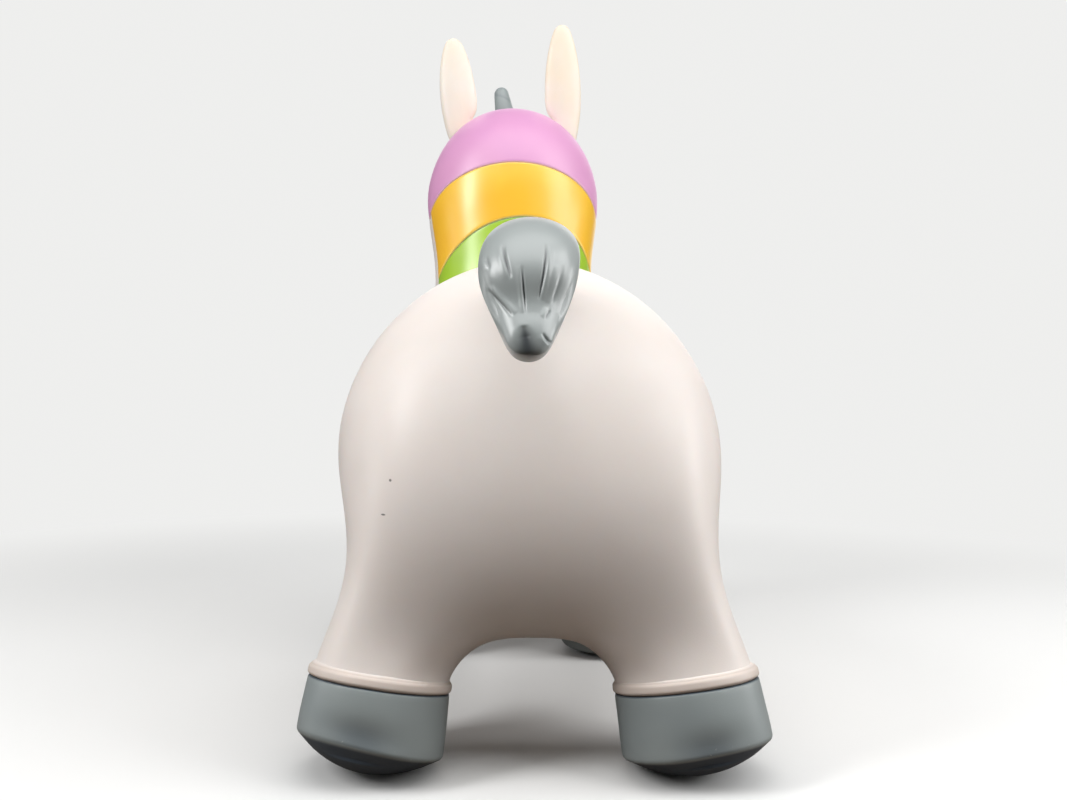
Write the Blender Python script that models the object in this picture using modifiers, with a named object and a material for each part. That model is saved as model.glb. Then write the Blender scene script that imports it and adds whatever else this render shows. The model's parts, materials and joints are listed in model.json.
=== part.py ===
"""An inflatable bouncy ride-on unicorn, as one Blender script.

The real toy is one hollow moulding of soft PVC, blown up through a valve under the belly. Here
its skin is divided along its form and paint lines into named shells that meet with a hair of
clearance. Every root that bends in use (hips, neck, ears, tail) is a ball joint in the skin: the
moving shell lies inside a sphere about the joint and the shell that carries it lies outside.

Metres, +Z up, +Y towards the nose, +X to the animal's right. The origin lies on the floor under
the middle of the toy. Run it with: blender --background --python part.py
"""

from collections import namedtuple
from math import asin, cos, pi, radians, sin, tan

import bmesh
import bpy
from mathutils import Matrix, Vector
from mathutils.bvhtree import BVHTree

MM = 0.001

# Clearances, the skin and the mesh
WALL = 2.6 * MM
SEAM_GAP = 0.7 * MM
SEAT_GAP = 0.3 * MM
OVERRUN = 20 * MM
MERGE = 0.01 * MM
SKIN_LEVEL = 1
ROUND_STEPS = 24
NECK_BALL_SEGMENTS = 40
HIP_BALL_SEGMENTS = 36
SMALL_BALL_SEGMENTS = 24
SMOOTH_ANGLE = radians(40)

# Torso: a barrel from rump to chest
BODY_LENGTH = 392 * MM
BODY_WIDTH = 265 * MM
BACK_HEIGHT = 325 * MM
BELLY_HEIGHT = 80 * MM
RUMP_PLACE_SHARE = -0.5995
RUMP_Y = RUMP_PLACE_SHARE * BODY_LENGTH
RUMP_SWELL = 42 * MM
CHEST_SWELL = 24 * MM

# Hooves, cuffs and legs; the sole is part of a sphere, cut flat where it stands
HOOF_RADIUS = 44.5 * MM
HOOF_FLARE = 1.2 * MM
HOOF_DEPTH = 52.3 * MM
HOOF_WALL = 3.0 * MM
RIM_ROUND = 6 * MM
SOLE_RADIUS = 77 * MM
SOLE_FLAT = 0.8 * MM
CUFF_HEIGHT = 7 * MM
CUFF_PROUD = 1.5 * MM
CUFF_LIFT = 0.4 * MM
LEG_RADIUS = 43.8 * MM
LEG_SPLAY = radians(8.3)
REAR_HOOF_X = 92 * MM
REAR_HOOF_PLACE_SHARE = 0.130
REAR_HOOF_Y = RUMP_Y + REAR_HOOF_PLACE_SHARE * BODY_LENGTH
REAR_LEAN = radians(-12)
FRONT_HOOF_X = 82 * MM
FRONT_HOOF_PLACE_SHARE = 0.7935
FRONT_HOOF_Y = RUMP_Y + FRONT_HOOF_PLACE_SHARE * BODY_LENGTH
FRONT_LEAN = radians(7)
HIP_BALL_RADIUS = 60 * MM
HIP_RISE = 24 * MM
HIP_SEAM_REACH = radians(115)

# Neck and head
NECK_WIDTH = 144 * MM
NECK_DEPTH = 124 * MM
HEAD_WIDTH = 166 * MM
HEAD_DEPTH = 158 * MM
MUZZLE_WIDTH = 98 * MM
MUZZLE_DEPTH = 84 * MM
NECK_PLACE_SHARE = 0.8445
NECK_BASE_Y = RUMP_Y + NECK_PLACE_SHARE * BODY_LENGTH
NECK_RISE_SHARE = 0.923
NECK_BASE_Z = NECK_RISE_SHARE * BACK_HEIGHT
HEAD_RISE = 150 * MM
HEAD_REACH = 40 * MM
NOSE_REACH = 186 * MM
NECK_BALL_RADIUS = 88 * MM
NECK_SEAM_LEAN = radians(20)
NECK_SEAM_REACH = radians(100)
ROOT_SEAM_REACH = radians(130)

# Mane: three painted bands about the nape, each a little prouder than the one below
BAND_LEAN = radians(40)
MANE_FOOT_RISE = -5.5 * MM
GREEN_BAND = 43 * MM
ORANGE_BAND = 40 * MM
PINK_RELIEF = 1.8 * MM
ORANGE_RELIEF = 1.3 * MM
GREEN_RELIEF = 0.9 * MM
MANE_FRONT_REACH = 16 * MM
MANE_FRONT_LEAN = radians(14)

# Ears, horn and eyes; their roots are found on the skin from the middle of the head
LEFT_EAR_SPREAD = radians(50)
RIGHT_EAR_SPREAD = radians(52.5)
EAR_BACK = radians(7)
EAR_WIDTH = 36 * MM
EAR_THICKNESS = 15 * MM
LEFT_EAR_LENGTH = 96 * MM
RIGHT_EAR_LENGTH = 112 * MM
LEFT_EAR_TILT = radians(6)
RIGHT_EAR_TILT = radians(-1)
EAR_BALL_RADIUS = 22 * MM
EAR_ROOT_DEPTH = 6 * MM
HORN_FORWARD = radians(43)
HORN_RADIUS = 12 * MM
HORN_TIP_RADIUS = 7.5 * MM
HORN_LENGTH = 57 * MM
HORN_ROOT_DEPTH = 12 * MM
HORN_LEAN = radians(12)
HORN_TILT = radians(9)
EYE_AHEAD = 54 * MM
EYE_RISE = 10 * MM
EYE_WIDTH = 17 * MM
EYE_HEIGHT = 22 * MM
EYE_RELIEF = 0.8 * MM

# Tail: its root is found on the skin from the middle of the rump
TAIL_BACK = radians(19)
TAIL_WIDTH = 58 * MM
TAIL_THICKNESS = 42 * MM
TAIL_DROP = 52 * MM
TAIL_SWING = 9 * MM
TAIL_REACH = 95 * MM
TAIL_BALL_RADIUS = 27 * MM

# Air valve under the belly
VALVE_PLACE_SHARE = 0.4515
VALVE_Y = RUMP_Y + VALVE_PLACE_SHARE * BODY_LENGTH
VALVE_RADIUS = 9 * MM
VALVE_DEPTH = 13 * MM
FLANGE_RADIUS = 14 * MM
FLANGE_THICKNESS = 1.8 * MM
PLUG_RADIUS = 4 * MM
PLUG_LENGTH = 11 * MM
PLUG_HEAD_RADIUS = 7 * MM
PLUG_HEAD_HEIGHT = 1.5 * MM
PLUG_TIP_SHARE = 0.7


def clear_scene():
    for obj in list(bpy.data.objects):
        bpy.data.objects.remove(obj)


def new_collection(name):
    made = bpy.data.collections.new(name)
    bpy.context.scene.collection.children.link(made)
    return made


def add_object(name, mesh, collection):
    obj = bpy.data.objects.new(name, mesh)
    collection.objects.link(obj)
    return obj


def mesh_of(bm, name):
    mesh = bpy.data.meshes.new(name)
    bm.to_mesh(mesh)
    bm.free()
    return mesh


def evaluated_mesh(obj):
    bpy.context.view_layer.update()
    graph = bpy.context.evaluated_depsgraph_get()
    return bpy.data.meshes.new_from_object(obj.evaluated_get(graph))


def settle(obj):
    """Replaces an object's mesh with what its modifiers make of it."""
    mesh = evaluated_mesh(obj)
    obj.modifiers.clear()
    obj.data = mesh


def combine(obj, other, operation):
    modifier = obj.modifiers.new(operation.title(), "BOOLEAN")
    modifier.operation = operation
    modifier.solver = "MANIFOLD"
    modifier.object = other


def subdivide(obj, level):
    modifier = obj.modifiers.new("Smooth", "SUBSURF")
    modifier.levels = level
    modifier.render_levels = level


def thicken(obj, thickness, offset):
    modifier = obj.modifiers.new("Wall", "SOLIDIFY")
    modifier.thickness = thickness
    modifier.offset = offset
    modifier.use_even_offset = True
    modifier.use_quality_normals = True


def lerp(a, b, share):
    return a + (b - a) * share


# Legs: each has its own frame, with its origin in the middle of the sole's sphere
Leg = namedtuple("Leg", "name side x y lean first_station")
LEGS = (
    Leg("rear_left", -1, REAR_HOOF_X, REAR_HOOF_Y, REAR_LEAN, 0),
    Leg("rear_right", 1, REAR_HOOF_X, REAR_HOOF_Y, REAR_LEAN, 0),
    Leg("front_left", -1, FRONT_HOOF_X, FRONT_HOOF_Y, FRONT_LEAN, 4),
    Leg("front_right", 1, FRONT_HOOF_X, FRONT_HOOF_Y, FRONT_LEAN, 4),
)


def leg_frame(leg):
    """Local -Z runs down the leg to the hoof."""
    down = Vector((leg.side * tan(LEG_SPLAY), tan(leg.lean), -1)).normalized()
    turn = Vector((0, 0, -1)).rotation_difference(down)
    middle = Vector((leg.side * leg.x, leg.y, SOLE_RADIUS - SOLE_FLAT))
    return Matrix.Translation(middle) @ turn.to_matrix().to_4x4()


def hip_centre(leg):
    return leg_frame(leg) @ Vector((0, 0, HIP_RISE))


# The cage of the skin: stations along the body by columns from the back down to the belly
STATIONS = 7
COLUMNS = 9
COLUMN_WIDTH_SHARES = (0, 0.40, 0.715, 0.925, 1.0)
COLUMN_RISE_SHARES = (1.0, 0.94, 0.815, 0.63, 0.42, 0.18, 0.03, 0.0, 0.0)
STATION_WIDTH_SHARES = (0.78, 1.0, 1.04, 0.96, 0.90, 0.90, 0.74)
STATION_TOP_SHARES = (0.92, 1.03, 1.025, 0.93, 0.91, 0.93, 0.88)
STATION_BELLY_SHARES = (1.05, 1.0, 1.0, 1.05, 1.05, 1.1, 1.3)
FLANK_PLACE_SHARES = (0.05, 0.18, 0.35, 0.52, 0.68, 0.82, 0.97)
BACK_PLACE_SHARES = (0.11, 0.25, 0.40, 0.53, 0.65, 0.84, 0.99)
CAP_PLACE_SHARES = (0, 0.42, 0.78)
CAP_SWELL_SHARES = (1.0, 0.92, 0.62)
CAP_RISE_SHARE = 0.46
FLANK_COLUMNS = (3, 4)
LEG_COLUMNS = (5, 6, 7)
LEG_COLUMN_SIDES = {5: 0.55, 6: 0, 7: -1.45}
LEG_SPREAD_SHARES = (0.80, 1.0, 0.80)
NECK_COLUMNS = (0, 1, 2)
NECK_STATIONS = (4, 5, 6)

# A ring of eight cage points about a leg, by station step and column
LEG_RING_KEYS = ((0, 5), (0, 6), (0, 7), (1, 7), (2, 7), (2, 6), (2, 5), (1, 5))
LEG_RING = {key: spot for spot, key in enumerate(LEG_RING_KEYS)}
EIGHT_SIDED_SHRINK_SHARE = 0.915
LEG_RING_DROPS = (HOOF_DEPTH * 0.22, HOOF_DEPTH * 0.62, HOOF_DEPTH * 1.15)
LEG_RING_WIDTH_SHARES = (0.96, 0.98, 1.0)

# Half a ring of seven cage points about the neck, from its nape to its throat
NECK_RING_KEYS = ((0, 0), (0, 1), (0, 2), (1, 2), (2, 2), (2, 1), (2, 0))
NECK_RING = {key: spot for spot, key in enumerate(NECK_RING_KEYS)}
NeckRing = namedtuple("NeckRing", "reach rise lean width depth")
NECK_RINGS = (
    NeckRing(0, 0.10 * HEAD_RISE, radians(8), NECK_WIDTH, NECK_DEPTH),
    NeckRing(0.10 * HEAD_REACH, 0.42 * HEAD_RISE, radians(24), NECK_WIDTH, NECK_DEPTH),
    NeckRing(0.35 * HEAD_REACH, 0.80 * HEAD_RISE, radians(40), 1.02 * HEAD_WIDTH, HEAD_DEPTH),
    NeckRing(HEAD_REACH, HEAD_RISE, radians(64), 0.83 * HEAD_WIDTH, 0.89 * HEAD_DEPTH),
    NeckRing(0.48 * NOSE_REACH, 0.96 * HEAD_RISE, radians(86), 0.84 * HEAD_WIDTH, 0.82 * HEAD_DEPTH),
    NeckRing(0.72 * NOSE_REACH, 0.80 * HEAD_RISE, radians(102), MUZZLE_WIDTH, MUZZLE_DEPTH),
    NeckRing(0.97 * NOSE_REACH, 0.66 * HEAD_RISE, radians(108), MUZZLE_WIDTH, MUZZLE_DEPTH),
)
TWELVE_SIDED_SHRINK_SHARE = 0.96
NOSE_CAP_SHARE = 0.12


def floor_point(station, column):
    """Below the flanks, a station under a leg takes its place from the leg's own axis."""
    for leg in LEGS[1::2]:
        step = station - leg.first_station
        if 0 <= step <= 2:
            out_share = LEG_SPREAD_SHARES[step] * LEG_COLUMN_SIDES.get(column, 0)
            hip = hip_centre(leg)
            x = hip.x + LEG_RADIUS * out_share if column in LEG_COLUMN_SIDES else 0
            return x, hip.y + (step - 1) * LEG_RADIUS
    before = Vector(floor_point(station - 1, column))
    after = Vector(floor_point(station + 1, column))
    return (before + after) / 2


def body_point(station, column):
    """The cage point where a station crosses a column, on the animal's right."""
    top = BACK_HEIGHT * STATION_TOP_SHARES[station]
    belly = BELLY_HEIGHT * STATION_BELLY_SHARES[station]
    z = lerp(belly, top, COLUMN_RISE_SHARES[column])
    if column > FLANK_COLUMNS[1]:
        x, y = floor_point(station, column)
        return Vector((x, y, z))
    flank_y = RUMP_Y + BODY_LENGTH * FLANK_PLACE_SHARES[station]
    back_y = RUMP_Y + BODY_LENGTH * BACK_PLACE_SHARES[station]
    x = BODY_WIDTH / 2 * STATION_WIDTH_SHARES[station] * COLUMN_WIDTH_SHARES[column]
    return Vector((x, lerp(back_y, flank_y, min(column / FLANK_COLUMNS[0], 1)), z))


def close_end(bm, grid, station, swell):
    """Closes the barrel at an end station with two rows of quads, swollen along Y."""
    inner = []
    for column, place_share in enumerate(CAP_PLACE_SHARES):
        below = grid[station, COLUMNS - 1 - column].co
        above = grid[station, column].co
        point = lerp(below, above, CAP_RISE_SHARE)
        point.x = grid[station, FLANK_COLUMNS[1]].co.x * place_share
        point.y = grid[station, FLANK_COLUMNS[1]].co.y + swell * CAP_SWELL_SHARES[column]
        inner.append(bm.verts.new(point))
    top_row = [grid[station, column] for column in range(4)]
    middle_row = inner + [grid[station, FLANK_COLUMNS[1]]]
    low_row = [grid[station, COLUMNS - 1 - column] for column in range(4)]
    for upper, lower in ((top_row, middle_row), (middle_row, low_row)):
        for i in range(3):
            bm.faces.new((upper[i], upper[i + 1], lower[i + 1], lower[i]))


def extrude_tube(bm, tag, faces, rings, place):
    """Extrudes a patch of faces once for each ring; place(ring, key) gives every point."""
    for ring in rings:
        made = bmesh.ops.extrude_face_region(bm, geom=faces)["geom"]
        bmesh.ops.delete(bm, geom=[face for face in faces if face.is_valid], context="FACES")
        faces = [item for item in made if isinstance(item, bmesh.types.BMFace)]
        for item in made:
            if isinstance(item, bmesh.types.BMVert):
                item.co = place(ring, divmod(item[tag], COLUMNS))
    on_mirror = [face for face in bm.faces if all(abs(v.co.x) < MERGE for v in face.verts)]
    bmesh.ops.delete(bm, geom=on_mirror, context="FACES")


def patch_of(grid_faces, first_station, columns):
    return [grid_faces[first_station + step, column] for step in (0, 1) for column in columns[:-1]]


def leg_point(leg):
    """A function that places the cage points of one leg's rings."""
    frame = leg_frame(leg)

    def place(ring, key):
        station, column = key
        spot = LEG_RING.get((station - leg.first_station, column))
        radius = LEG_RADIUS * LEG_RING_WIDTH_SHARES[ring] / EIGHT_SIDED_SHRINK_SHARE
        if spot is None:
            return frame @ Vector((0, 0, -LEG_RING_DROPS[ring]))
        turn = -pi / 4 - spot * pi / 4
        return frame @ Vector((radius * cos(turn), radius * sin(turn), -LEG_RING_DROPS[ring]))

    return place


def neck_point(index, key):
    """Places the cage points of a ring about the neck, the head or the muzzle."""
    ring = NECK_RINGS[min(index, len(NECK_RINGS) - 1)]
    along = Vector((0, sin(ring.lean), cos(ring.lean)))
    forward = Vector((0, cos(ring.lean), -sin(ring.lean)))
    middle = Vector((0, NECK_BASE_Y + ring.reach, NECK_BASE_Z + ring.rise))
    station, column = key
    spot = NECK_RING.get((station - NECK_STATIONS[0], column))
    half_width = ring.width / 2 / TWELVE_SIDED_SHRINK_SHARE
    half_depth = ring.depth / 2 / TWELVE_SIDED_SHRINK_SHARE
    if spot is None:
        swell = NOSE_CAP_SHARE * MUZZLE_DEPTH
        return middle + Vector((column * half_width / 2, 0, 0)) + along * swell
    turn = spot * pi / 6
    point = middle - forward * half_depth * cos(turn)
    point.x = half_width * sin(turn)
    return point


def skin_cage():
    """Half of the animal's cage, on its right, open along the plane of the mirror."""
    bm = bmesh.new()
    tag = bm.verts.layers.int.new("spot")
    grid = {}
    for station in range(STATIONS):
        for column in range(COLUMNS):
            grid[station, column] = bm.verts.new(body_point(station, column))
            grid[station, column][tag] = station * COLUMNS + column
    faces = {}
    for station in range(STATIONS - 1):
        for column in range(COLUMNS - 1):
            corners = (
                grid[station, column],
                grid[station, column + 1],
                grid[station + 1, column + 1],
                grid[station + 1, column],
            )
            faces[station, column] = bm.faces.new(corners)
    close_end(bm, grid, 0, -RUMP_SWELL)
    close_end(bm, grid, STATIONS - 1, CHEST_SWELL)
    patches = {leg: patch_of(faces, leg.first_station, LEG_COLUMNS) for leg in LEGS if leg.side > 0}
    neck_patch = patch_of(faces, NECK_STATIONS[0], NECK_COLUMNS)
    for leg, patch in patches.items():
        extrude_tube(bm, tag, patch, range(len(LEG_RING_DROPS)), leg_point(leg))
    extrude_tube(bm, tag, neck_patch, range(len(NECK_RINGS)), neck_point)
    bmesh.ops.recalc_face_normals(bm, faces=bm.faces)
    return mesh_of(bm, "skin_cage")


def skin_form(collection, level):
    """The whole outer form of the skin as one closed surface."""
    obj = add_object("skin_form", skin_cage(), collection)
    mirror = obj.modifiers.new("Other_side", "MIRROR")
    mirror.merge_threshold = MERGE
    mirror.use_clip = True
    subdivide(obj, level)
    facets = obj.modifiers.new("Same_facets_on_every_layer", "TRIANGULATE")
    facets.quad_method = "FIXED"
    return obj


def turned(name, profile, collection, frame=None, steps=ROUND_STEPS):
    """Turns a closed profile of (radius, height) points, top to bottom on its outer side."""
    bm = bmesh.new()
    points = [bm.verts.new((radius, 0, height)) for radius, height in profile]
    for first, second in zip(points, points[1:] + points[:1]):
        if first.co.x > 0 or second.co.x > 0:
            bm.edges.new((first, second))
    obj = add_object(name, mesh_of(bm, name), collection)
    screw = obj.modifiers.new("Turn", "SCREW")
    screw.steps = steps
    screw.render_steps = steps
    screw.use_merge_vertices = True
    screw.merge_threshold = MERGE
    if frame is not None:
        obj.matrix_world = frame
    return obj


def box(name, low, high, collection, frame=None):
    bm = bmesh.new()
    bmesh.ops.create_cube(bm, size=1)
    middle = (Vector(low) + Vector(high)) / 2
    bmesh.ops.scale(bm, vec=Vector(high) - Vector(low), verts=bm.verts)
    bmesh.ops.translate(bm, vec=middle, verts=bm.verts)
    obj = add_object(name, mesh_of(bm, name), collection)
    if frame is not None:
        obj.matrix_world = frame
    return obj


def ball(name, radius, segments, collection, frame):
    bm = bmesh.new()
    bmesh.ops.create_uvsphere(bm, u_segments=segments, v_segments=segments // 2, radius=radius)
    obj = add_object(name, mesh_of(bm, name), collection)
    obj.matrix_world = frame
    return obj


def seam_bowl(name, radius, segments, reach, collection, frame):
    """The gap of a ball joint: a thin bowl about the joint, from its +Z pole down to reach."""
    obj = ball(name, radius - SEAM_GAP / 2, segments, collection, frame)
    bm = bmesh.new()
    bm.from_mesh(obj.data)
    beyond = [v for v in bm.verts if v.co.z < radius * cos(reach)]
    bmesh.ops.delete(bm, geom=beyond, context="VERTS")
    obj.data = mesh_of(bm, name)
    thicken(obj, SEAM_GAP, 1)
    return obj


def make_cutter(obj):
    obj.hide_render = True
    obj.display_type = "WIRE"
    return obj


def islands(obj, name, collection):
    """Every separate body of an object's mesh, each as an object of its own."""
    source = bmesh.new()
    source.from_mesh(obj.data)
    unseen = set(source.verts)
    made = []
    while unseen:
        body = set()
        front = {unseen.pop()}
        while front:
            body |= front
            front = {e.other_vert(v) for v in front for e in v.link_edges} - body
        unseen -= body
        keep = {v.index for v in body}
        bm = source.copy()
        bm.verts.ensure_lookup_table()
        bmesh.ops.delete(bm, geom=[v for v in bm.verts if v.index not in keep], context="VERTS")
        made.append(add_object(name, mesh_of(bm, name), collection))
    source.free()
    return made


def middle_of(obj):
    total = Vector()
    for vertex in obj.data.vertices:
        total += vertex.co
    return total / len(obj.data.vertices)


# The foot of the leg's skin, in the leg's own frame
FOOT_TOP = HOOF_DEPTH - SOLE_RADIUS

# Bands about the neck are measured along a line that leans forward with it
BAND_LINE = Vector((0, sin(BAND_LEAN), cos(BAND_LEAN)))
BAND_FRAME = Matrix.Rotation(-BAND_LEAN, 4, "X")
NECK_BASE = Vector((0, NECK_BASE_Y, NECK_BASE_Z))
MANE_FOOT = NECK_BASE.dot(BAND_LINE) + MANE_FOOT_RISE
HEAD_SEAM = MANE_FOOT + GREEN_BAND + ORANGE_BAND
FAR = 2 * BODY_LENGTH
SIDES = ((-1, "left"), (1, "right"))


def head_middle():
    return NECK_BASE + Vector((0, HEAD_REACH, HEAD_RISE))


# A place on the outer skin, with the way out there
Spot = namedtuple("Spot", "point out")


def skin_finder(toy):
    """A function that finds where a ray from inside the animal leaves its outer skin."""
    form = skin_form(toy, SKIN_LEVEL)
    settle(form)
    bm = bmesh.new()
    bm.from_mesh(form.data)
    tree = BVHTree.FromBMesh(bm)
    bm.free()
    bpy.data.objects.remove(form)

    def find(start, direction):
        point, normal, _, _ = tree.ray_cast(start, direction)
        return Spot(point, normal)

    return find


def landmarks(toy):
    """Where the small forms stand on the skin."""
    find = skin_finder(toy)
    head = head_middle()
    rump = Vector((0, RUMP_Y + BODY_LENGTH / 4, BACK_HEIGHT / 2))
    valve = Vector((0, VALVE_Y, BACK_HEIGHT / 2))
    spots = {
        "tail": find(rump, Vector((0, -sin(TAIL_BACK), cos(TAIL_BACK)))),
        "horn": find(head, Vector((0, sin(HORN_FORWARD), cos(HORN_FORWARD)))),
        "valve": find(valve, Vector((0, 0, -1))),
    }
    for side, name in SIDES:
        spread = LEFT_EAR_SPREAD if side < 0 else RIGHT_EAR_SPREAD
        to_ear = Vector((side * sin(spread), -sin(EAR_BACK), cos(spread)))
        spots["ear_" + name] = find(head, to_ear)
        eye_start = head + Vector((0, EYE_AHEAD, EYE_RISE))
        spots["eye_" + name] = find(eye_start, Vector((side, 0, 0)))
    return spots


def outward_frame(spot):
    """A frame with +Z out of the skin, turned so that no ball has points on the middle plane."""
    turn = Vector((0, 0, 1)).rotation_difference(spot.out).to_matrix().to_4x4()
    half_facet = Matrix.Rotation(pi / SMALL_BALL_SEGMENTS, 4, "Z")
    return Matrix.Translation(spot.point) @ turn @ half_facet


def seam_cutters(spots, cutters):
    """Every cut that divides the hollow skin into its named shells."""
    made = []
    for leg in LEGS:
        frame = Matrix.Translation(hip_centre(leg)) @ leg_frame(leg).to_3x3().to_4x4()
        bowl = seam_bowl(
            "hip_seam", HIP_BALL_RADIUS, HIP_BALL_SEGMENTS, HIP_SEAM_REACH, cutters, frame
        )
        made.append(bowl)
        low = (-SOLE_RADIUS, -SOLE_RADIUS, FOOT_TOP - FAR)
        high = (SOLE_RADIUS, SOLE_RADIUS, FOOT_TOP)
        made.append(box("foot_cut", low, high, cutters, leg_frame(leg)))
    down_the_neck = Matrix.Rotation(pi - NECK_SEAM_LEAN, 4, "X")
    frame = Matrix.Translation(NECK_BASE) @ down_the_neck
    bowl = seam_bowl(
        "neck_seam", NECK_BALL_RADIUS, NECK_BALL_SEGMENTS, NECK_SEAM_REACH, cutters, frame
    )
    made.append(bowl)
    small_seams = [("tail", TAIL_BALL_RADIUS)]
    small_seams += [("ear_" + name, EAR_BALL_RADIUS) for _, name in SIDES]
    for name, radius in small_seams:
        frame = outward_frame(spots[name])
        bowl = seam_bowl(
            name + "_seam", radius, SMALL_BALL_SEGMENTS, ROOT_SEAM_REACH, cutters, frame
        )
        made.append(bowl)
    low = (-FAR, -FAR, HEAD_SEAM - SEAT_GAP / 2)
    high = (FAR, FAR, HEAD_SEAM + SEAT_GAP / 2)
    made.append(box("head_seam", low, high, cutters, BAND_FRAME))
    bore = VALVE_RADIUS + SEAT_GAP
    profile = [(0, OVERRUN), (bore, OVERRUN), (bore, -OVERRUN), (0, -OVERRUN)]
    frame = Matrix.Translation(spots["valve"].point)
    made.append(turned("valve_cut", profile, cutters, frame))
    for cutter in made:
        make_cutter(cutter)
    return made


def skin_shells(spots, toy, cutters):
    """The hollow skin, divided: its shells by name."""
    skin = skin_form(toy, SKIN_LEVEL)
    thicken(skin, WALL, -1)
    settle(skin)
    for cutter in seam_cutters(spots, cutters):
        combine(skin, cutter, "DIFFERENCE")
    settle(skin)
    marks = {
        "body_shell": Vector((0, RUMP_Y + BODY_LENGTH / 2, BACK_HEIGHT / 2)),
        "neck_shell": NECK_BASE,
        "head_shell": head_middle(),
        "tail": spots["tail"].point,
        "ear_left": spots["ear_left"].point,
        "ear_right": spots["ear_right"].point,
    }
    for leg in LEGS:
        marks[leg.name + "_leg"] = hip_centre(leg)
    shells = {}
    for shell in islands(skin, "shell", toy):
        middle = middle_of(shell)
        name = min(marks, key=lambda mark: (marks[mark] - middle).length)
        shell.name = name
        shells[name] = shell
    bpy.data.objects.remove(skin)
    return shells


# Loose forms: a tube of eight-sided rings, smoothed
Ring = namedtuple("Ring", "middle across through")
TUBE_SIDES = 8


def tube(name, rings, collection, level):
    """A closed smooth form through a list of rings, given by their middle and two half axes."""
    bm = bmesh.new()
    spot = bm.verts.layers.int.new("spot")
    bmesh.ops.create_circle(bm, cap_ends=True, segments=TUBE_SIDES, radius=1)
    for index, vertex in enumerate(bm.verts):
        vertex[spot] = index
    turns = [(v.co.x, v.co.y) for v in bm.verts]
    top = bm.faces[:]
    for vertex in bm.verts:
        x, y = turns[vertex[spot]]
        vertex.co = rings[0].middle + rings[0].across * x + rings[0].through * y
    for ring in rings[1:]:
        made = bmesh.ops.extrude_face_region(bm, geom=top)["geom"]
        if ring is not rings[1]:
            bmesh.ops.delete(bm, geom=[face for face in top if face.is_valid], context="FACES")
        top = [item for item in made if isinstance(item, bmesh.types.BMFace)]
        for item in made:
            if isinstance(item, bmesh.types.BMVert):
                x, y = turns[item[spot]]
                item.co = ring.middle + ring.across * x + ring.through * y
    bmesh.ops.recalc_face_normals(bm, faces=bm.faces)
    obj = add_object(name, mesh_of(bm, name), collection)
    subdivide(obj, level)
    return obj


# Ears: shares of the root's depth or the ear's length, of its width and of its thickness
EAR_ROOT_SHARES = ((-1.0, 0.80, 1.0), (0.5, 0.90, 1.0))
EAR_SHARES = (
    (0.17, 1.06, 1.0),
    (0.36, 1.10, 1.0),
    (0.58, 1.01, 0.86),
    (0.80, 0.73, 0.68),
    (0.95, 0.36, 0.42),
)


def raise_ear(root, side, spot, cutters):
    """An upright pointed oval, joined to the round of skin that turns in the head."""
    length = LEFT_EAR_LENGTH if side < 0 else RIGHT_EAR_LENGTH
    tilt = LEFT_EAR_TILT if side < 0 else RIGHT_EAR_TILT
    upright = Matrix.Rotation(side * tilt, 3, "Y")
    through = Vector((0, EAR_THICKNESS / 2, 0))
    along_skin = spot.out.cross(through).normalized() * EAR_WIDTH / 2
    rings = []
    for out_share, width_share, depth_share in EAR_ROOT_SHARES:
        middle = spot.point + spot.out * EAR_ROOT_DEPTH * out_share
        rings.append(Ring(middle, along_skin * width_share, through * depth_share))
    for length_share, width_share, depth_share in EAR_SHARES:
        middle = spot.point + upright @ Vector((0, 0, length * length_share))
        across = upright @ Vector((-EAR_WIDTH / 2 * width_share, 0, 0))
        rings.append(Ring(middle, across, through * depth_share))
    form = make_cutter(tube("ear_form", rings, cutters, SKIN_LEVEL))
    settle(form)
    combine(root, form, "UNION")


# Tail: share of its reach back, of its drop, its width, its thickness, and its lean there
TAIL_SHARES = (
    (-0.10, 0.12, 0.62, 0.72, radians(20)),
    (0.14, -0.28, 0.74, 0.86, radians(42)),
    (0.46, -0.47, 0.95, 1.0, radians(78)),
    (0.76, -0.29, 1.10, 1.0, radians(120)),
    (0.90, 0.16, 0.97, 0.86, radians(155)),
    (0.97, 0.58, 0.61, 0.66, radians(168)),
    (1.0, 0.92, 0.34, 0.36, radians(165)),
)


def tail_form(name, place, wall, overrun, collection):
    """The tail's form, drawn in by a wall and run on past its root."""
    rings = []
    for reach_share, drop_share, width_share, depth_share, lean in TAIL_SHARES:
        swing = TAIL_SWING * max(reach_share, 0)
        middle = place - Vector((swing, TAIL_REACH * reach_share, TAIL_DROP * drop_share))
        across = Vector((TAIL_WIDTH / 2 * width_share - wall, 0, 0))
        through = Vector((0, cos(lean), sin(lean))) * (TAIL_THICKNESS / 2 * depth_share - wall)
        rings.append(Ring(middle, across, through))
    root = rings[0]
    inward = (rings[0].middle - rings[1].middle).normalized() * overrun
    rings[0] = Ring(root.middle + inward, root.across, root.through)
    form = make_cutter(tube(name, rings, collection, SKIN_LEVEL))
    settle(form)
    return form


def hang_tail(root, place, cutters):
    """An arched, drooping lock of hair, hollow and open into the body."""
    combine(root, tail_form("tail_form", place, 0, 0, cutters), "UNION")
    combine(root, tail_form("tail_hollow", place, WALL, WALL, cutters), "DIFFERENCE")


# Hooves and cuffs, in the leg's own frame
SOLE_STEPS = 4
CUFF_STEPS = 4
HOOF_SIDE_SHARES = ((0, 0), (0.35, 0.5), (0.75, 1.0), (1.0, 0.8))


def sole_arc(radius, rim):
    """Points on the sole's sphere from a rim radius to its lowest point."""
    widest = asin(rim / radius)
    angles = [widest * (1 - step / SOLE_STEPS) for step in range(SOLE_STEPS + 1)]
    return [(radius * sin(angle), -radius * cos(angle)) for angle in angles[:-1]] + [(0, -radius)]


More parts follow.
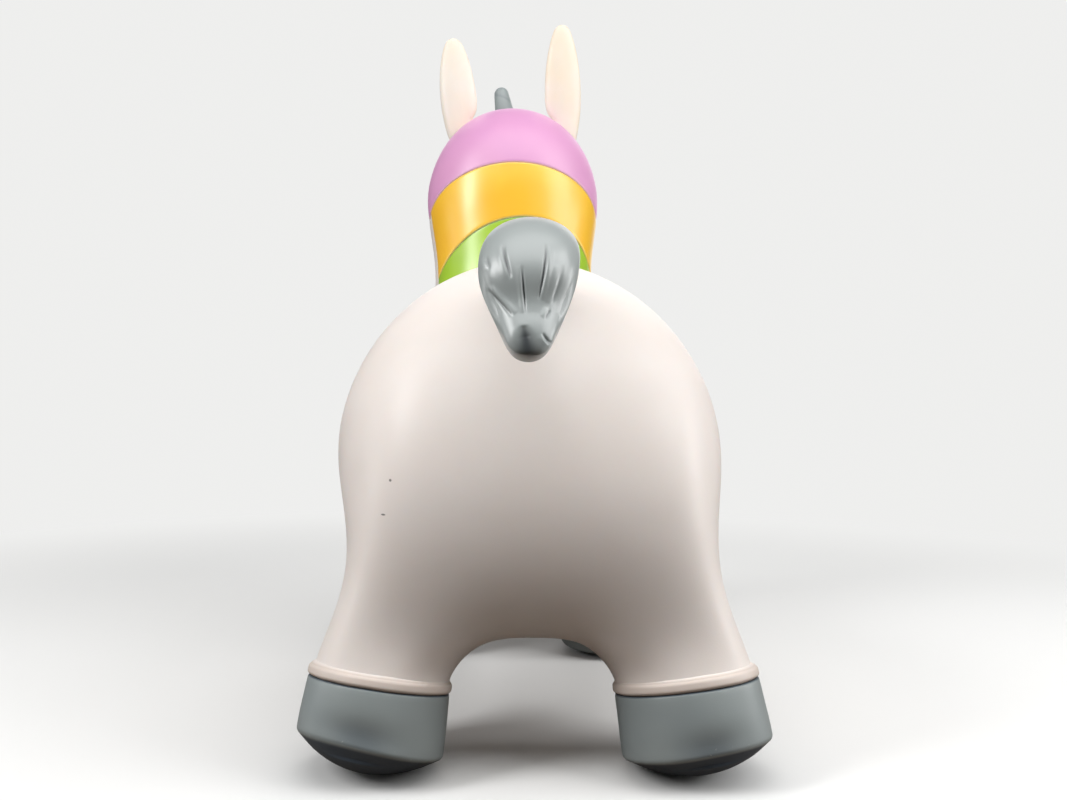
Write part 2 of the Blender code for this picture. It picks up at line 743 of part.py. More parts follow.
def add_hoof(leg, toy, cutters):
    """A cup with a bulging sole, cut flat where it stands."""
    rim = HOOF_RADIUS - RIM_ROUND / 2
    rim_height = sole_arc(SOLE_RADIUS, rim)[0][1]
    top = FOOT_TOP - SEAT_GAP
    foot = rim_height + RIM_ROUND / 2
    profile = []
    for fall_share, flare_share in HOOF_SIDE_SHARES:
        radius = HOOF_RADIUS + HOOF_FLARE * flare_share
        profile.append((radius, lerp(top, foot, fall_share)))
    profile += sole_arc(SOLE_RADIUS, rim)
    inner = sole_arc(SOLE_RADIUS - HOOF_WALL, rim - HOOF_WALL)
    inner.reverse()
    profile += inner
    profile.append((HOOF_RADIUS - HOOF_WALL, rim_height + RIM_ROUND))
    profile.append((HOOF_RADIUS - HOOF_WALL, top))
    hoof = turned(leg.name + "_hoof", profile, toy, leg_frame(leg))
    floor = box("floor", (-FAR, -FAR, -FAR), (FAR, FAR, 0), cutters)
    combine(hoof, make_cutter(floor), "DIFFERENCE")
    return hoof


def add_cuff(shell, leg, cutters):
    """The raised bead about the foot of the leg's skin."""
    low = FOOT_TOP + CUFF_LIFT
    inner = LEG_RADIUS - WALL / 2
    profile = [(inner, low + CUFF_HEIGHT)]
    for step in range(CUFF_STEPS + 1):
        angle = pi / 2 - pi * step / CUFF_STEPS
        out = HOOF_RADIUS + CUFF_PROUD * cos(angle)
        profile.append((out, low + CUFF_HEIGHT / 2 * (1 + sin(angle))))
    profile.append((inner, low))
    cuff = make_cutter(turned("cuff", profile, cutters, leg_frame(leg)))
    combine(shell, cuff, "UNION")


# Pieces that lie on the skin
def grown_form(name, growth, collection):
    """The animal's outer form, grown outwards by a distance."""
    form = skin_form(collection, SKIN_LEVEL)
    form.name = name
    grow = form.modifiers.new("Grow", "DISPLACE")
    grow.strength = growth
    grow.mid_level = 0
    settle(form)
    return form


def mane_room(name, low, high, cutters):
    """A slab across the neck between two heights, ending at the mane's slanted front."""
    bottom = low + SEAT_GAP / 2
    top = high - SEAT_GAP / 2
    room = box(name, (-FAR, -FAR, bottom), (FAR, 0, top), cutters, BAND_FRAME)
    slant = tan(BAND_LEAN - MANE_FRONT_LEAN)
    start = BAND_FRAME.inverted() @ Vector((0, NECK_BASE_Y + MANE_FRONT_REACH, head_middle().z))
    for vertex in room.data.vertices:
        if vertex.co.y > -FAR / 2:
            vertex.co.y = start.y - (vertex.co.z - start.z) * slant
    return make_cutter(room)


def mane_band(name, low, high, relief, seat, toy, cutters):
    """A band between two heights along the neck, open at its front."""
    band = grown_form(name, SEAT_GAP + relief, toy)
    combine(band, mane_room(name + "_room", low, high, cutters), "INTERSECT")
    combine(band, seat, "DIFFERENCE")
    return band


def add_mane(spots, seat, toy, cutters):
    """Three bands; the top one leaves room for the ears."""
    green_top = MANE_FOOT + GREEN_BAND
    green = mane_band("mane_green", MANE_FOOT, green_top, GREEN_RELIEF, seat, toy, cutters)
    orange = mane_band("mane_orange", green_top, HEAD_SEAM, ORANGE_RELIEF, seat, toy, cutters)
    pink = mane_band("mane_pink", HEAD_SEAM, FAR, PINK_RELIEF, seat, toy, cutters)
    for _, name in SIDES:
        room = EAR_BALL_RADIUS + SEAM_GAP
        frame = outward_frame(spots["ear_" + name])
        socket = ball("ear_room", room, SMALL_BALL_SEGMENTS, cutters, frame)
        combine(pink, make_cutter(socket), "DIFFERENCE")
    return {"mane_green": green, "mane_orange": orange, "mane_pink": pink}


def add_horn(place, seat, toy):
    """A plain stub with a round tip, seated on the forehead."""
    profile = [(0, HORN_LENGTH)]
    for step in range(1, CUFF_STEPS + 1):
        angle = pi / 2 * step / CUFF_STEPS
        height = HORN_LENGTH - HORN_TIP_RADIUS * (1 - cos(angle))
        profile.append((HORN_TIP_RADIUS * sin(angle), height))
    profile += [(HORN_RADIUS, 0), (HORN_RADIUS, -HORN_ROOT_DEPTH), (0, -HORN_ROOT_DEPTH)]
    turn = Matrix.Rotation(-HORN_LEAN, 4, "X") @ Matrix.Rotation(-HORN_TILT, 4, "Y")
    horn = turned("horn", profile, toy, Matrix.Translation(place) @ turn)
    combine(horn, seat, "DIFFERENCE")
    return horn


def add_eye(name, place, seat, toy, cutters):
    """A thin oval on the side of the head."""
    eye = grown_form("eye_" + name, SEAT_GAP + EYE_RELIEF, toy)
    bm = bmesh.new()
    bmesh.ops.create_cone(bm, cap_ends=True, segments=ROUND_STEPS, radius1=1, radius2=1, depth=1)
    bmesh.ops.rotate(bm, matrix=Matrix.Rotation(pi / 2, 3, "Y"), verts=bm.verts)
    size = Vector((HEAD_WIDTH / 2, EYE_WIDTH / 2, EYE_HEIGHT / 2))
    bmesh.ops.scale(bm, vec=size, verts=bm.verts)
    edge = add_object("eye_edge", mesh_of(bm, "eye_edge"), cutters)
    edge.location = place
    combine(eye, make_cutter(edge), "INTERSECT")
    combine(eye, seat, "DIFFERENCE")
    return eye


def add_valve(place, seat, toy, cutters):
    """A flanged rubber seat in the belly and the plug pushed up into it."""
    frame = Matrix.Translation(place)
    low = -FLANGE_THICKNESS - SEAT_GAP
    bore = PLUG_RADIUS + SEAT_GAP
    recess = PLUG_HEAD_RADIUS + SEAT_GAP
    shelf = low + PLUG_HEAD_HEIGHT
    flange = [(recess, WALL), (FLANGE_RADIUS, WALL), (FLANGE_RADIUS, low), (recess, low)]
    valve_seat = turned("valve_seat", flange, toy, frame)
    combine(valve_seat, seat, "DIFFERENCE")
    stem = [
        (bore, VALVE_DEPTH),
        (VALVE_RADIUS, VALVE_DEPTH),
        (VALVE_RADIUS, low),
        (recess, low),
        (recess, shelf),
        (bore, shelf),
    ]
    combine(valve_seat, make_cutter(turned("valve_stem", stem, cutters, frame)), "UNION")
    neck_low = shelf - SEAT_GAP
    tip = neck_low + PLUG_LENGTH
    plug = [
        (0, tip),
        (PLUG_RADIUS * PLUG_TIP_SHARE, tip),
        (PLUG_RADIUS, tip - PLUG_RADIUS / 2),
        (PLUG_RADIUS, neck_low),
        (PLUG_HEAD_RADIUS, neck_low),
        (PLUG_HEAD_RADIUS, neck_low - PLUG_HEAD_HEIGHT),
        (0, neck_low - PLUG_HEAD_HEIGHT),
    ]
    valve_plug = turned("valve_plug", plug, toy, frame)
    return {"valve_seat": valve_seat, "valve_plug": valve_plug}


# Colours, as red, green and blue shares, and roughness, of each kind of piece
Finish = namedtuple("Finish", "colour roughness")
WHITE_SKIN = Finish((0.88, 0.83, 0.77), 0.42)
PINK_PAINT = Finish((0.81, 0.46, 0.72), 0.40)
ORANGE_PAINT = Finish((1.0, 0.50, 0.05), 0.40)
GREEN_PAINT = Finish((0.42, 0.70, 0.06), 0.40)
GREY_SKIN = Finish((0.29, 0.33, 0.33), 0.45)
HORN_SKIN = Finish((0.39, 0.44, 0.45), 0.40)
DARK_PAINT = Finish((0.02, 0.02, 0.025), 0.25)
VALVE_RUBBER = Finish((0.70, 0.68, 0.64), 0.50)
FINISHES = {
    "mane_pink": PINK_PAINT,
    "mane_orange": ORANGE_PAINT,
    "mane_green": GREEN_PAINT,
    "tail": GREY_SKIN,
    "horn": HORN_SKIN,
    "eye_left": DARK_PAINT,
    "eye_right": DARK_PAINT,
    "valve_seat": VALVE_RUBBER,
    "valve_plug": VALVE_RUBBER,
}
FINISHES.update({leg.name + "_hoof": GREY_SKIN for leg in LEGS})


def paint(obj, finish):
    material = bpy.data.materials.new(obj.name)
    material.use_nodes = True
    shader = material.node_tree.nodes["Principled BSDF"]
    shader.inputs["Base Color"].default_value = (*finish.colour, 1)
    shader.inputs["Roughness"].default_value = finish.roughness
    shader.inputs["Metallic"].default_value = 0
    obj.data.materials.clear()
    obj.data.materials.append(material)


def finish_piece(obj, origin):
    """Applies the modifiers, puts the origin on the joint and shades the piece."""
    settle(obj)
    bpy.context.view_layer.update()
    obj.data.transform(Matrix.Translation(-origin) @ obj.matrix_world)
    obj.matrix_world = Matrix.Translation(origin)
    obj.data.shade_smooth()
    obj.data.set_sharp_from_angle(angle=SMOOTH_ANGLE)
    paint(obj, FINISHES.get(obj.name, WHITE_SKIN))


def hang_on(parent, children):
    """Parents pieces to the piece that carries them, where they stand."""
    bpy.context.view_layer.update()
    for child in children:
        child.parent = parent
        child.matrix_parent_inverse = parent.matrix_world.inverted()


def main():
    clear_scene()
    toy = new_collection("bouncy_unicorn")
    cutters = new_collection("cutters")
    spots = landmarks(toy)
    pieces = skin_shells(spots, toy, cutters)
    for side, name in SIDES:
        raise_ear(pieces["ear_" + name], side, spots["ear_" + name], cutters)
    hang_tail(pieces["tail"], spots["tail"].point, cutters)
    for leg in LEGS:
        add_cuff(pieces[leg.name + "_leg"], leg, cutters)
        pieces[leg.name + "_hoof"] = add_hoof(leg, toy, cutters)
    seat = make_cutter(grown_form("skin_seat", SEAT_GAP, cutters))
    pieces.update(add_mane(spots, seat, toy, cutters))
    pieces["horn"] = add_horn(spots["horn"].point, seat, toy)
    for _, name in SIDES:
        eye_point = spots["eye_" + name].point
        pieces["eye_" + name] = add_eye(name, eye_point, seat, toy, cutters)
    pieces.update(add_valve(spots["valve"].point, seat, toy, cutters))

    valve = spots["valve"].point
    origins = {"body_shell": Vector(), "valve_seat": valve, "valve_plug": valve}
    for name in ("tail", "ear_left", "ear_right"):
        origins[name] = spots[name].point
    for leg in LEGS:
        origins[leg.name + "_leg"] = hip_centre(leg)
        origins[leg.name + "_hoof"] = hip_centre(leg)
    for name, piece in pieces.items():
        finish_piece(piece, origins.get(name, NECK_BASE))
    on_neck = ("head_shell", "mane_pink", "mane_orange", "mane_green", "horn")
    on_neck += ("eye_left", "eye_right", "ear_left", "ear_right")
    hang_on(pieces["neck_shell"], [pieces[name] for name in on_neck])
    for leg in LEGS:
        hang_on(pieces[leg.name + "_leg"], [pieces[leg.name + "_hoof"]])
    on_body = ["neck_shell", "tail", "valve_seat", "valve_plug"]
    on_body += [leg.name + "_leg" for leg in LEGS]
    hang_on(pieces["body_shell"], [pieces[name] for name in on_body])


main()
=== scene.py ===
"""Looks of an inflatable bouncy ride-on unicorn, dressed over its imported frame.

The toy is one soft PVC moulding, so its skin is made here as one smooth surface and then parted
where it bends. Painted bands, cuffs, hooves, ears, horn, tail and face are laid on that surface.
Metres, +Z up, +Y towards the nose, +X to the animal's right.
"""

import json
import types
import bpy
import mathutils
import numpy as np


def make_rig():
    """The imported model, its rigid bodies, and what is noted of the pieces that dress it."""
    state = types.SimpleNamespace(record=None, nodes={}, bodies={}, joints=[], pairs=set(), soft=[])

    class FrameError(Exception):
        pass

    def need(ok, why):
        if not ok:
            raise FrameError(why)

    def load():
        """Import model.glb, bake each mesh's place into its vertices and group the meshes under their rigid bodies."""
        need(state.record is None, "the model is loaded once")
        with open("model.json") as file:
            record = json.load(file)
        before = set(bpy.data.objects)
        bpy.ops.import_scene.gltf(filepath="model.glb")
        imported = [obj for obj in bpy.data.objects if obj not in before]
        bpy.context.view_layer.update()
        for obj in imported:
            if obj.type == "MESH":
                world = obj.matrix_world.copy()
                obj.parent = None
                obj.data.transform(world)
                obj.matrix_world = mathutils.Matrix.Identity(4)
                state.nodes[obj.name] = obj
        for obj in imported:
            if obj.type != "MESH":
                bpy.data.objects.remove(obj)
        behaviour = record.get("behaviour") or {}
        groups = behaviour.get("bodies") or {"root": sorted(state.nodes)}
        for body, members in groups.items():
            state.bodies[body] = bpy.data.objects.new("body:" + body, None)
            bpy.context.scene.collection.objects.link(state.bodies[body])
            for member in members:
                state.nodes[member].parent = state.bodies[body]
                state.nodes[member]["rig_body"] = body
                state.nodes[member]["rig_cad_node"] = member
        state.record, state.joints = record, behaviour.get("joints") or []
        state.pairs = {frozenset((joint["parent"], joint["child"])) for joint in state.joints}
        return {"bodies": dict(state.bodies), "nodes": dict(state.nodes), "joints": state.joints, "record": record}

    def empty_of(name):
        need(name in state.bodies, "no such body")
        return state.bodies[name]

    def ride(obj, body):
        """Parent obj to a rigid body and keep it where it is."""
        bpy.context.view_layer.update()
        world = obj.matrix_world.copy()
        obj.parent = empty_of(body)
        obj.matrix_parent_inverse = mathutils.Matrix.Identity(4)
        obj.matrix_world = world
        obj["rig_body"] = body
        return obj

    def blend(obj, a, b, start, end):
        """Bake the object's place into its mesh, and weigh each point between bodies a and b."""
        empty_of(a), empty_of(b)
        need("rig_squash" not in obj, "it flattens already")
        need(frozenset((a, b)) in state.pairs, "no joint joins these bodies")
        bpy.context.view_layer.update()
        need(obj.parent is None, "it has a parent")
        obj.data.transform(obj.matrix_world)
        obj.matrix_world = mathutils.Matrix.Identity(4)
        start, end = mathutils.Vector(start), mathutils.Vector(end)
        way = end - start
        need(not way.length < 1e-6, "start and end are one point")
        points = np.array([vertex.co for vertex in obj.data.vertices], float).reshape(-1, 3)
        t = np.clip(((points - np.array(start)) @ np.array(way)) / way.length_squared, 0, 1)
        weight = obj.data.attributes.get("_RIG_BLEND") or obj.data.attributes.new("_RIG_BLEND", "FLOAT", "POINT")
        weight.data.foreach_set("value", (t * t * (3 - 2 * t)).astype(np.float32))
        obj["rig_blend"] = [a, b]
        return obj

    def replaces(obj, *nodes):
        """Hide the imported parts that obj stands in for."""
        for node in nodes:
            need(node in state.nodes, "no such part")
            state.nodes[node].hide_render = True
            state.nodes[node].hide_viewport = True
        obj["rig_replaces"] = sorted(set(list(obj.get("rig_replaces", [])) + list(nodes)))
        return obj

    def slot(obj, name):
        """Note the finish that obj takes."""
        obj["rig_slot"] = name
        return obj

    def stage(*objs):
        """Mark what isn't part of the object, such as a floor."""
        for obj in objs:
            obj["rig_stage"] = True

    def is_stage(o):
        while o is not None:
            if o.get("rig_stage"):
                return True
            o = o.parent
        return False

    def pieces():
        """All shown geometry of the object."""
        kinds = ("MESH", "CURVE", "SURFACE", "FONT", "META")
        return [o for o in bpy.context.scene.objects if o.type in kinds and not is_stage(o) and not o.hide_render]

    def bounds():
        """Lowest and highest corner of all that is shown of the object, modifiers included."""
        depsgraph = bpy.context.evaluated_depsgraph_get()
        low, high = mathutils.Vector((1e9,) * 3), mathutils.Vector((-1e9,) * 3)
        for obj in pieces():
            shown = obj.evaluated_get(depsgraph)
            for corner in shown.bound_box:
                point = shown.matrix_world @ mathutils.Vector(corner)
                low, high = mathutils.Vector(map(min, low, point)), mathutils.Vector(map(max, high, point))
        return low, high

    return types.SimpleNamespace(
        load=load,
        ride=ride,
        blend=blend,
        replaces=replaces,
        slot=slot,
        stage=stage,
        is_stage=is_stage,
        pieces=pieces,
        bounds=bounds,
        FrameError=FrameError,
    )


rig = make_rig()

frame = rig.load()
cad_low, cad_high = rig.bounds()

import json
import logging
from collections.abc import Callable, Sequence
from dataclasses import dataclass, field
from enum import Enum
from functools import partial
from math import asin, atan2, cos, exp, hypot, pi, radians, sin, tan

import bmesh
import bpy
import numpy as np
from mathutils import Matrix, Vector, noise
from mathutils.bvhtree import BVHTree

LOG = logging.getLogger("bouncy_unicorn")
MM = 0.001
WELD = 0.01 * MM
LEG_RADIUS = 43.8 * MM
HOOF_DEPTH = 52.3 * MM
Colour = tuple[float, float, float]
Point = tuple[float, float]


class Side(Enum):
    """The animal's left or right, by the sign of X."""

    LEFT = -1
    RIGHT = 1

    @property
    def word(self) -> str:
        """The side as it stands in a piece's name."""
        return self.name.lower()


class Grain(Enum):
    """How the surface of the vinyl is textured: grain size, its depth, and the depth of slow waves."""

    SATIN_MOULDED = (0.9 * MM, 0.035 * MM, 0.25 * MM)
    SPRAYED_PAINT = (0.7 * MM, 0.03 * MM, 0.16 * MM)
    GLOSSY_PRINT = (1.5 * MM, 0.008 * MM, 0.02 * MM)
    RUBBER = (0.5 * MM, 0.03 * MM, 0.03 * MM)


# Materials


class Recipe:
    """A material's node tree, with short ways to add to it."""

    def __init__(self, name: str) -> None:
        """Starts an empty recipe with its shader.

        Args:
            name: The material's name.
        """
        self.material = bpy.data.materials.new(name)
        self.material.use_nodes = True
        self.tree = self.material.node_tree
        self.shader = self.tree.nodes["Principled BSDF"]
        self.place = self.add("ShaderNodeTexCoord").outputs["Object"]

    def add(self, kind: str, inputs: dict | None = None, **settings: object) -> bpy.types.Node:
        """Adds a node.

        Args:
            kind: Blender's name for the node type.
            inputs: Values for sockets, by name or number.
            settings: Values for the node's own properties.

        Returns:
            The new node.
        """
        node = self.tree.nodes.new(kind)
        for name, value in settings.items():
            setattr(node, name, value)
        for name, value in (inputs or {}).items():
            if isinstance(value, bpy.types.NodeSocket):
                self.tree.links.new(value, node.inputs[name])
            else:
                node.inputs[name].default_value = value
        return node

    def noise(self, size: float, detail: float = 3.0, shift: float = 0.0) -> bpy.types.NodeSocket:
        """A soft random pattern.

        Args:
            size: The width of its blotches in metres.
            detail: How many finer layers it has.
            shift: Moves the pattern, so that two layers differ.

        Returns:
            A value round a half.
        """
        place = self.vector("ADD", self.place, (shift, shift / 2, -shift)) if shift else self.place
        made = self.add("ShaderNodeTexNoise", {"Vector": place, "Scale": 1 / size, "Detail": detail})
        return made.outputs[0]

    def ramp(
        self, value: bpy.types.NodeSocket, low: float, high: float, to_low: float, to_high: float
    ) -> bpy.types.NodeSocket:
        """Maps a value from one range to another, smoothly and within its ends.

        Args:
            value: What is mapped.
            low: The value that gives to_low.
            high: The value that gives to_high.
            to_low: The result at the low end.
            to_high: The result at the high end.

        Returns:
            The mapped value's socket.
        """
        inputs = {0: value, 1: low, 2: high, 3: to_low, 4: to_high}
        return self.add("ShaderNodeMapRange", inputs, interpolation_type="SMOOTHSTEP").outputs[0]

    def maths(self, operation: str, first: object, second: object) -> bpy.types.NodeSocket:
        """One arithmetic step between two values or sockets."""
        return self.add("ShaderNodeMath", {0: first, 1: second}, operation=operation).outputs[0]

    def vector(self, operation: str, first: object, second: object = (0, 0, 0)) -> bpy.types.NodeSocket:
        """One step between two vectors or sockets, of which LENGTH gives a plain number."""
        node = self.add("ShaderNodeVectorMath", {0: first, 1: second}, operation=operation)
        return node.outputs["Value" if operation == "LENGTH" else "Vector"]

    def mix(self, share: bpy.types.NodeSocket, first: object, second: object) -> bpy.types.NodeSocket:
        """A colour between two others.

        Args:
            share: 0 for the first, 1 for the second.
            first: A colour or a socket.
            second: A colour or a socket.

        Returns:
            The mixed colour's socket.
        """
        inputs = {0: share, 6: opaque(first), 7: opaque(second)}
        return self.add("ShaderNodeMix", inputs, data_type="RGBA").outputs[2]

    def attribute(self, name: str) -> bpy.types.NodeSocket:
        """A value that the mesh carries at each of its points."""
        return self.add("ShaderNodeAttribute", attribute_name=name).outputs["Fac"]

    def bump(
        self, height: bpy.types.NodeSocket, depth: float, under: bpy.types.NodeSocket | None = None
    ) -> bpy.types.NodeSocket:
        """A relief on the surface, on top of another one.

        Args:
            height: The pattern, where 1 is high.
            depth: How far it reaches.
            under: The normal that it bends, where it isn't the surface's own.

        Returns:
            The bent normal's socket.
        """
        inputs = {"Height": height, "Distance": depth, "Strength": 1.0}
        if under is not None:
            inputs["Normal"] = under
        return self.add("ShaderNodeBump", inputs).outputs[0]

    def feed(self, socket: str, value: object) -> None:
        """Sets or links one of the shader's sockets.

        Args:
            socket: The socket's name.
            value: A value for it, or the socket that feeds it.
        """
        if isinstance(value, bpy.types.NodeSocket):
            self.tree.links.new(value, self.shader.inputs[socket])
        else:
            self.shader.inputs[socket].default_value = value


def opaque(colour: object) -> object:
    """A colour with its alpha, or the socket that it was."""
    return colour if isinstance(colour, bpy.types.NodeSocket) else (*colour, 1.0)


@dataclass(frozen=True)
class Speck:
    """A speck of dirt on the rump.

    Attributes:
        x: Its place to the animal's right.
        z: Its height.
        wide: Half of its width.
        tall: Half of its height.
    """

    x: float
    z: float
    wide: float
    tall: float


@dataclass(frozen=True)
class Vinyl:
    """A moulded or sprayed PVC surface.

    Attributes:
        name: The material's name.
        colour: Its main colour.
        other: The colour of its soft blotches.
        roughness: How dull it is.
        coat: How much of a clear gloss lies on it.
        grain: Its texture.
        creased: The colour of painted shade, and on the pink and orange bands of painted highlight, laid where the
            piece marks it.
        worn: The colour of scuffs, where the piece marks them.
        specks: The dirt on it.
        softness: How much of the light goes into it.
        blotch: The width of its soft blotches.
        scuff: The width of its scuffs.
        sheen: The width of the patches where it is duller or glossier.
        wave: The width of its slow waves.
        glow: How far light goes into it.
    """

    name: str
    colour: Colour
    other: Colour
    roughness: float = 0.45
    coat: float = 0.0
    grain: Grain = Grain.SATIN_MOULDED
    creased: Colour | None = None
    worn: Colour | None = None
    specks: Sequence[Speck] = ()
    softness: float = 0.0
    blotch: float = 70 * MM
    scuff: float = 2.4 * MM
    sheen: float = 24 * MM
    wave: float = 38 * MM
    glow: float = 3 * MM

    def material(self) -> bpy.types.Material:
        """The finish as a material, made once."""
        return bpy.data.materials.get(self.name) or self.mixed()

    def mixed(self) -> bpy.types.Material:
        """Builds the node tree.

        Returns:
            The new material.
        """
        recipe = Recipe(self.name)
        blotches = recipe.ramp(recipe.noise(self.blotch), 0.35, 0.65, 0, 1)
        colour = recipe.mix(blotches, self.colour, self.other)
        # Painted shade, and on the pink and orange bands painted highlight, mixed in by the share that the piece
        # marks.
        if self.creased:
            share = recipe.ramp(recipe.attribute("crease"), 0, 1, 0, 1)
            colour = recipe.mix(share, colour, self.creased)
        if self.worn:
            scuffs = recipe.ramp(recipe.noise(self.scuff, 3, 0.3), 0.67, 0.73, 0, 0.9)
            share = recipe.maths("MULTIPLY", scuffs, recipe.attribute("wear"))
            colour = recipe.mix(share, colour, self.worn)
        if self.specks:
            colour = recipe.mix(self.speckled(recipe), colour, DIRT)
        recipe.feed("Base Color", colour)
        patches = recipe.noise(self.sheen, 4, 0.7)
        rough = recipe.ramp(patches, 0.3, 0.7, self.roughness - 0.05, self.roughness + 0.06)
        recipe.feed("Roughness", rough)
        grain_size, grain_depth, wave_depth = self.grain.value
        waves = recipe.bump(recipe.noise(self.wave, 2, 0.4), wave_depth)
        recipe.feed("Normal", recipe.bump(recipe.noise(grain_size, 2), grain_depth, waves))
        recipe.feed("Coat Weight", self.coat)
        recipe.feed("Coat Roughness", 0.3)
        if self.softness:
            recipe.feed("Subsurface Weight", self.softness)
            recipe.feed("Subsurface Radius", (1.0, 0.6, 0.4))
            recipe.feed("Subsurface Scale", self.glow)
        return recipe.material

    def speckled(self, recipe: Recipe) -> bpy.types.NodeSocket:
        """The specks of dirt, each a soft oval on the side that faces back.

        Args:
            recipe: The material that they are part of.

        Returns:
            1 on a speck, and 0 beside it.
        """
        total = 0.0
        for speck in self.specks:
            off = recipe.vector("SUBTRACT", recipe.place, (speck.x, 0, speck.z))
            off = recipe.vector("MULTIPLY", off, (1 / speck.wide, 0, 1 / speck.tall))
            far = recipe.vector("LENGTH", off)
            total = recipe.maths("MAXIMUM", total, recipe.ramp(far, 0.6, 1.1, 0.85, 0))
        forward = recipe.add("ShaderNodeSeparateXYZ", {0: recipe.place}).outputs[1]
        return recipe.maths("MULTIPLY", total, recipe.maths("LESS_THAN", forward, RUMP_END))


RUMP_END = -100 * MM
DIRT = (0.10, 0.09, 0.08)
PAINT = Grain.SPRAYED_PAINT
RUMP_SPECKS = (
    Speck(-86 * MM, 182 * MM, 0.9 * MM, 0.9 * MM),
    Speck(-90 * MM, 162 * MM, 1.5 * MM, 0.6 * MM),
)
# The warm darker third colour is painted shade, laid over the cuffs.
WHITE_SKIN = Vinyl(
    "white_vinyl_skin",
    (0.88, 0.81, 0.765),
    (0.86, 0.785, 0.735),
    0.46,
    0.06,
    creased=(0.62, 0.52, 0.45),
    specks=RUMP_SPECKS,
    softness=0.12,
)
CREAM_EAR = Vinyl("cream_vinyl_ear", (0.88, 0.80, 0.71), (0.88, 0.77, 0.62), 0.45, 0.05, softness=0.15)
BLUSH_EAR = Vinyl("blush_inner_ear", (0.86, 0.50, 0.55), (0.85, 0.55, 0.58), 0.45, grain=PAINT)
# Each band's last colour is painted along its edges: painted highlight on pink and orange, painted shade on green.
PINK_MANE = Vinyl(
    "pink_mane_paint", (0.73, 0.35, 0.59), (0.70, 0.33, 0.58), 0.40, 0.15, PAINT, (0.84, 0.56, 0.68)
)
ORANGE_MANE = Vinyl(
    "orange_mane_paint", (1.0, 0.60, 0.03), (1.0, 0.54, 0.025), 0.36, 0.7, PAINT, (1.0, 0.74, 0.18)
)
GREEN_MANE = Vinyl(
    "green_mane_paint", (0.40, 0.64, 0.03), (0.36, 0.60, 0.03), 0.36, 0.8, PAINT, (0.10, 0.26, 0.02)
)
# Its near-black last colour is painted shade in the partings and the hollow at the tip.
GREY_TAIL = Vinyl(
    "grey_tail_paint", (0.39, 0.425, 0.42), (0.36, 0.395, 0.39), 0.36, 0.6, PAINT, (0.03, 0.036, 0.042)
)
# Its dark last colour is painted shade in the spiral groove.
GREY_HORN = Vinyl(
    "grey_horn_paint", (0.30, 0.34, 0.34), (0.28, 0.32, 0.33), 0.40, 0.08, PAINT, (0.12, 0.14, 0.15)
)
# Its near-black blue-grey colour is painted shade in the dents, in the groove under the cuff and over the whole sole;
# the pale grey one is scuffs of wear.
GREY_HOOF = Vinyl(
    "grey_hoof_paint",
    (0.29, 0.325, 0.325),
    (0.26, 0.295, 0.30),
    0.46,
    0.08,
    PAINT,
    creased=(0.058, 0.08, 0.108),
    worn=(0.50, 0.53, 0.53),
)
BLACK_EYE = Vinyl(
    "black_eye_print", (0.012, 0.011, 0.014), (0.02, 0.016, 0.02), 0.2, 0.5, Grain.GLOSSY_PRINT
)
WHITE_GLINT = Vinyl("white_eye_glint", (0.9, 0.9, 0.9), (0.88, 0.88, 0.9), 0.25, 0.4, Grain.GLOSSY_PRINT)
DARK_PINK = Vinyl("dark_pink_muzzle_paint", (0.45, 0.17, 0.22), (0.42, 0.15, 0.2), 0.42, 0.05, PAINT)
VALVE_WHITE = Vinyl("valve_rubber", (0.74, 0.71, 0.67), (0.70, 0.67, 0.62), 0.5, 0.0, Grain.RUBBER)


# Mesh helpers


def add_object(name: str, data: bpy.types.ID) -> bpy.types.Object:
    """Puts a new object in the scene.

    Args:
        name: Its name.
        data: Its mesh, lamp or camera.

    Returns:
        The object, at the origin.
    """
    made = bpy.data.objects.new(name, data)
    bpy.context.scene.collection.objects.link(made)
    return made


def add_piece(bm: bmesh.types.BMesh, name: str, finish: Vinyl) -> bpy.types.Object:
    """Turns a bmesh into a smooth shaded object with its finish.

    Args:
        bm: The mesh, which is freed.
        name: The piece's name.
        finish: What covers it.

    Returns:
        The new object, at the origin.
    """
    mesh = bpy.data.meshes.new(name)
    bm.to_mesh(mesh)
    bm.free()
    piece = add_object(name, mesh)
    mesh.shade_smooth()
    mesh.materials.append(finish.material())
    LOG.info("%s: %d faces", name, len(mesh.polygons))
    return piece


def smoothed(bm: bmesh.types.BMesh, level: int) -> bmesh.types.BMesh:
    """Subdivides a cage with Blender's Subdivision Surface.

    Args:
        bm: The cage, which is freed.
        level: How many times it is divided.

    Returns:
        The fine mesh.
    """
    mesh = bpy.data.meshes.new("cage")
    bm.to_mesh(mesh)
    bm.free()
    cage = add_object("cage", mesh)
    modifier = cage.modifiers.new("Smooth", "SUBSURF")
    modifier.levels = level
    modifier.render_levels = level
    bpy.context.view_layer.update()
    fine = bmesh.new()
    fine.from_object(cage, bpy.context.evaluated_depsgraph_get())
    bpy.data.objects.remove(cage)
    fine.normal_update()
    return fine


def parts_of(bm: bmesh.types.BMesh) -> list:
    """Every vertex, edge and face of a mesh, as operators take them."""
    return bm.verts[:] + bm.edges[:] + bm.faces[:]


def cut(
    bm: bmesh.types.BMesh,
    point: Vector,
    normal: Vector,
    clear: bool = False,
    faces: Sequence[bmesh.types.BMFace] | None = None,
) -> None:
    """Cuts a mesh along a plane.

    Args:
        bm: The mesh.
        point: A point of the plane.
        normal: The plane's normal.
        clear: Whether what lies beyond the plane goes.
        faces: The faces that are cut, where not all are.
    """
    geometry = parts_of(bm)
    if faces is not None:
        edges = {edge for face in faces for edge in face.edges}
        verts = {vert for face in faces for vert in face.verts}
        geometry = list(verts) + list(edges) + list(faces)
    plane = {"plane_co": point, "plane_no": normal}
    bmesh.ops.bisect_plane(bm, geom=geometry, dist=WELD, clear_outer=clear, **plane)


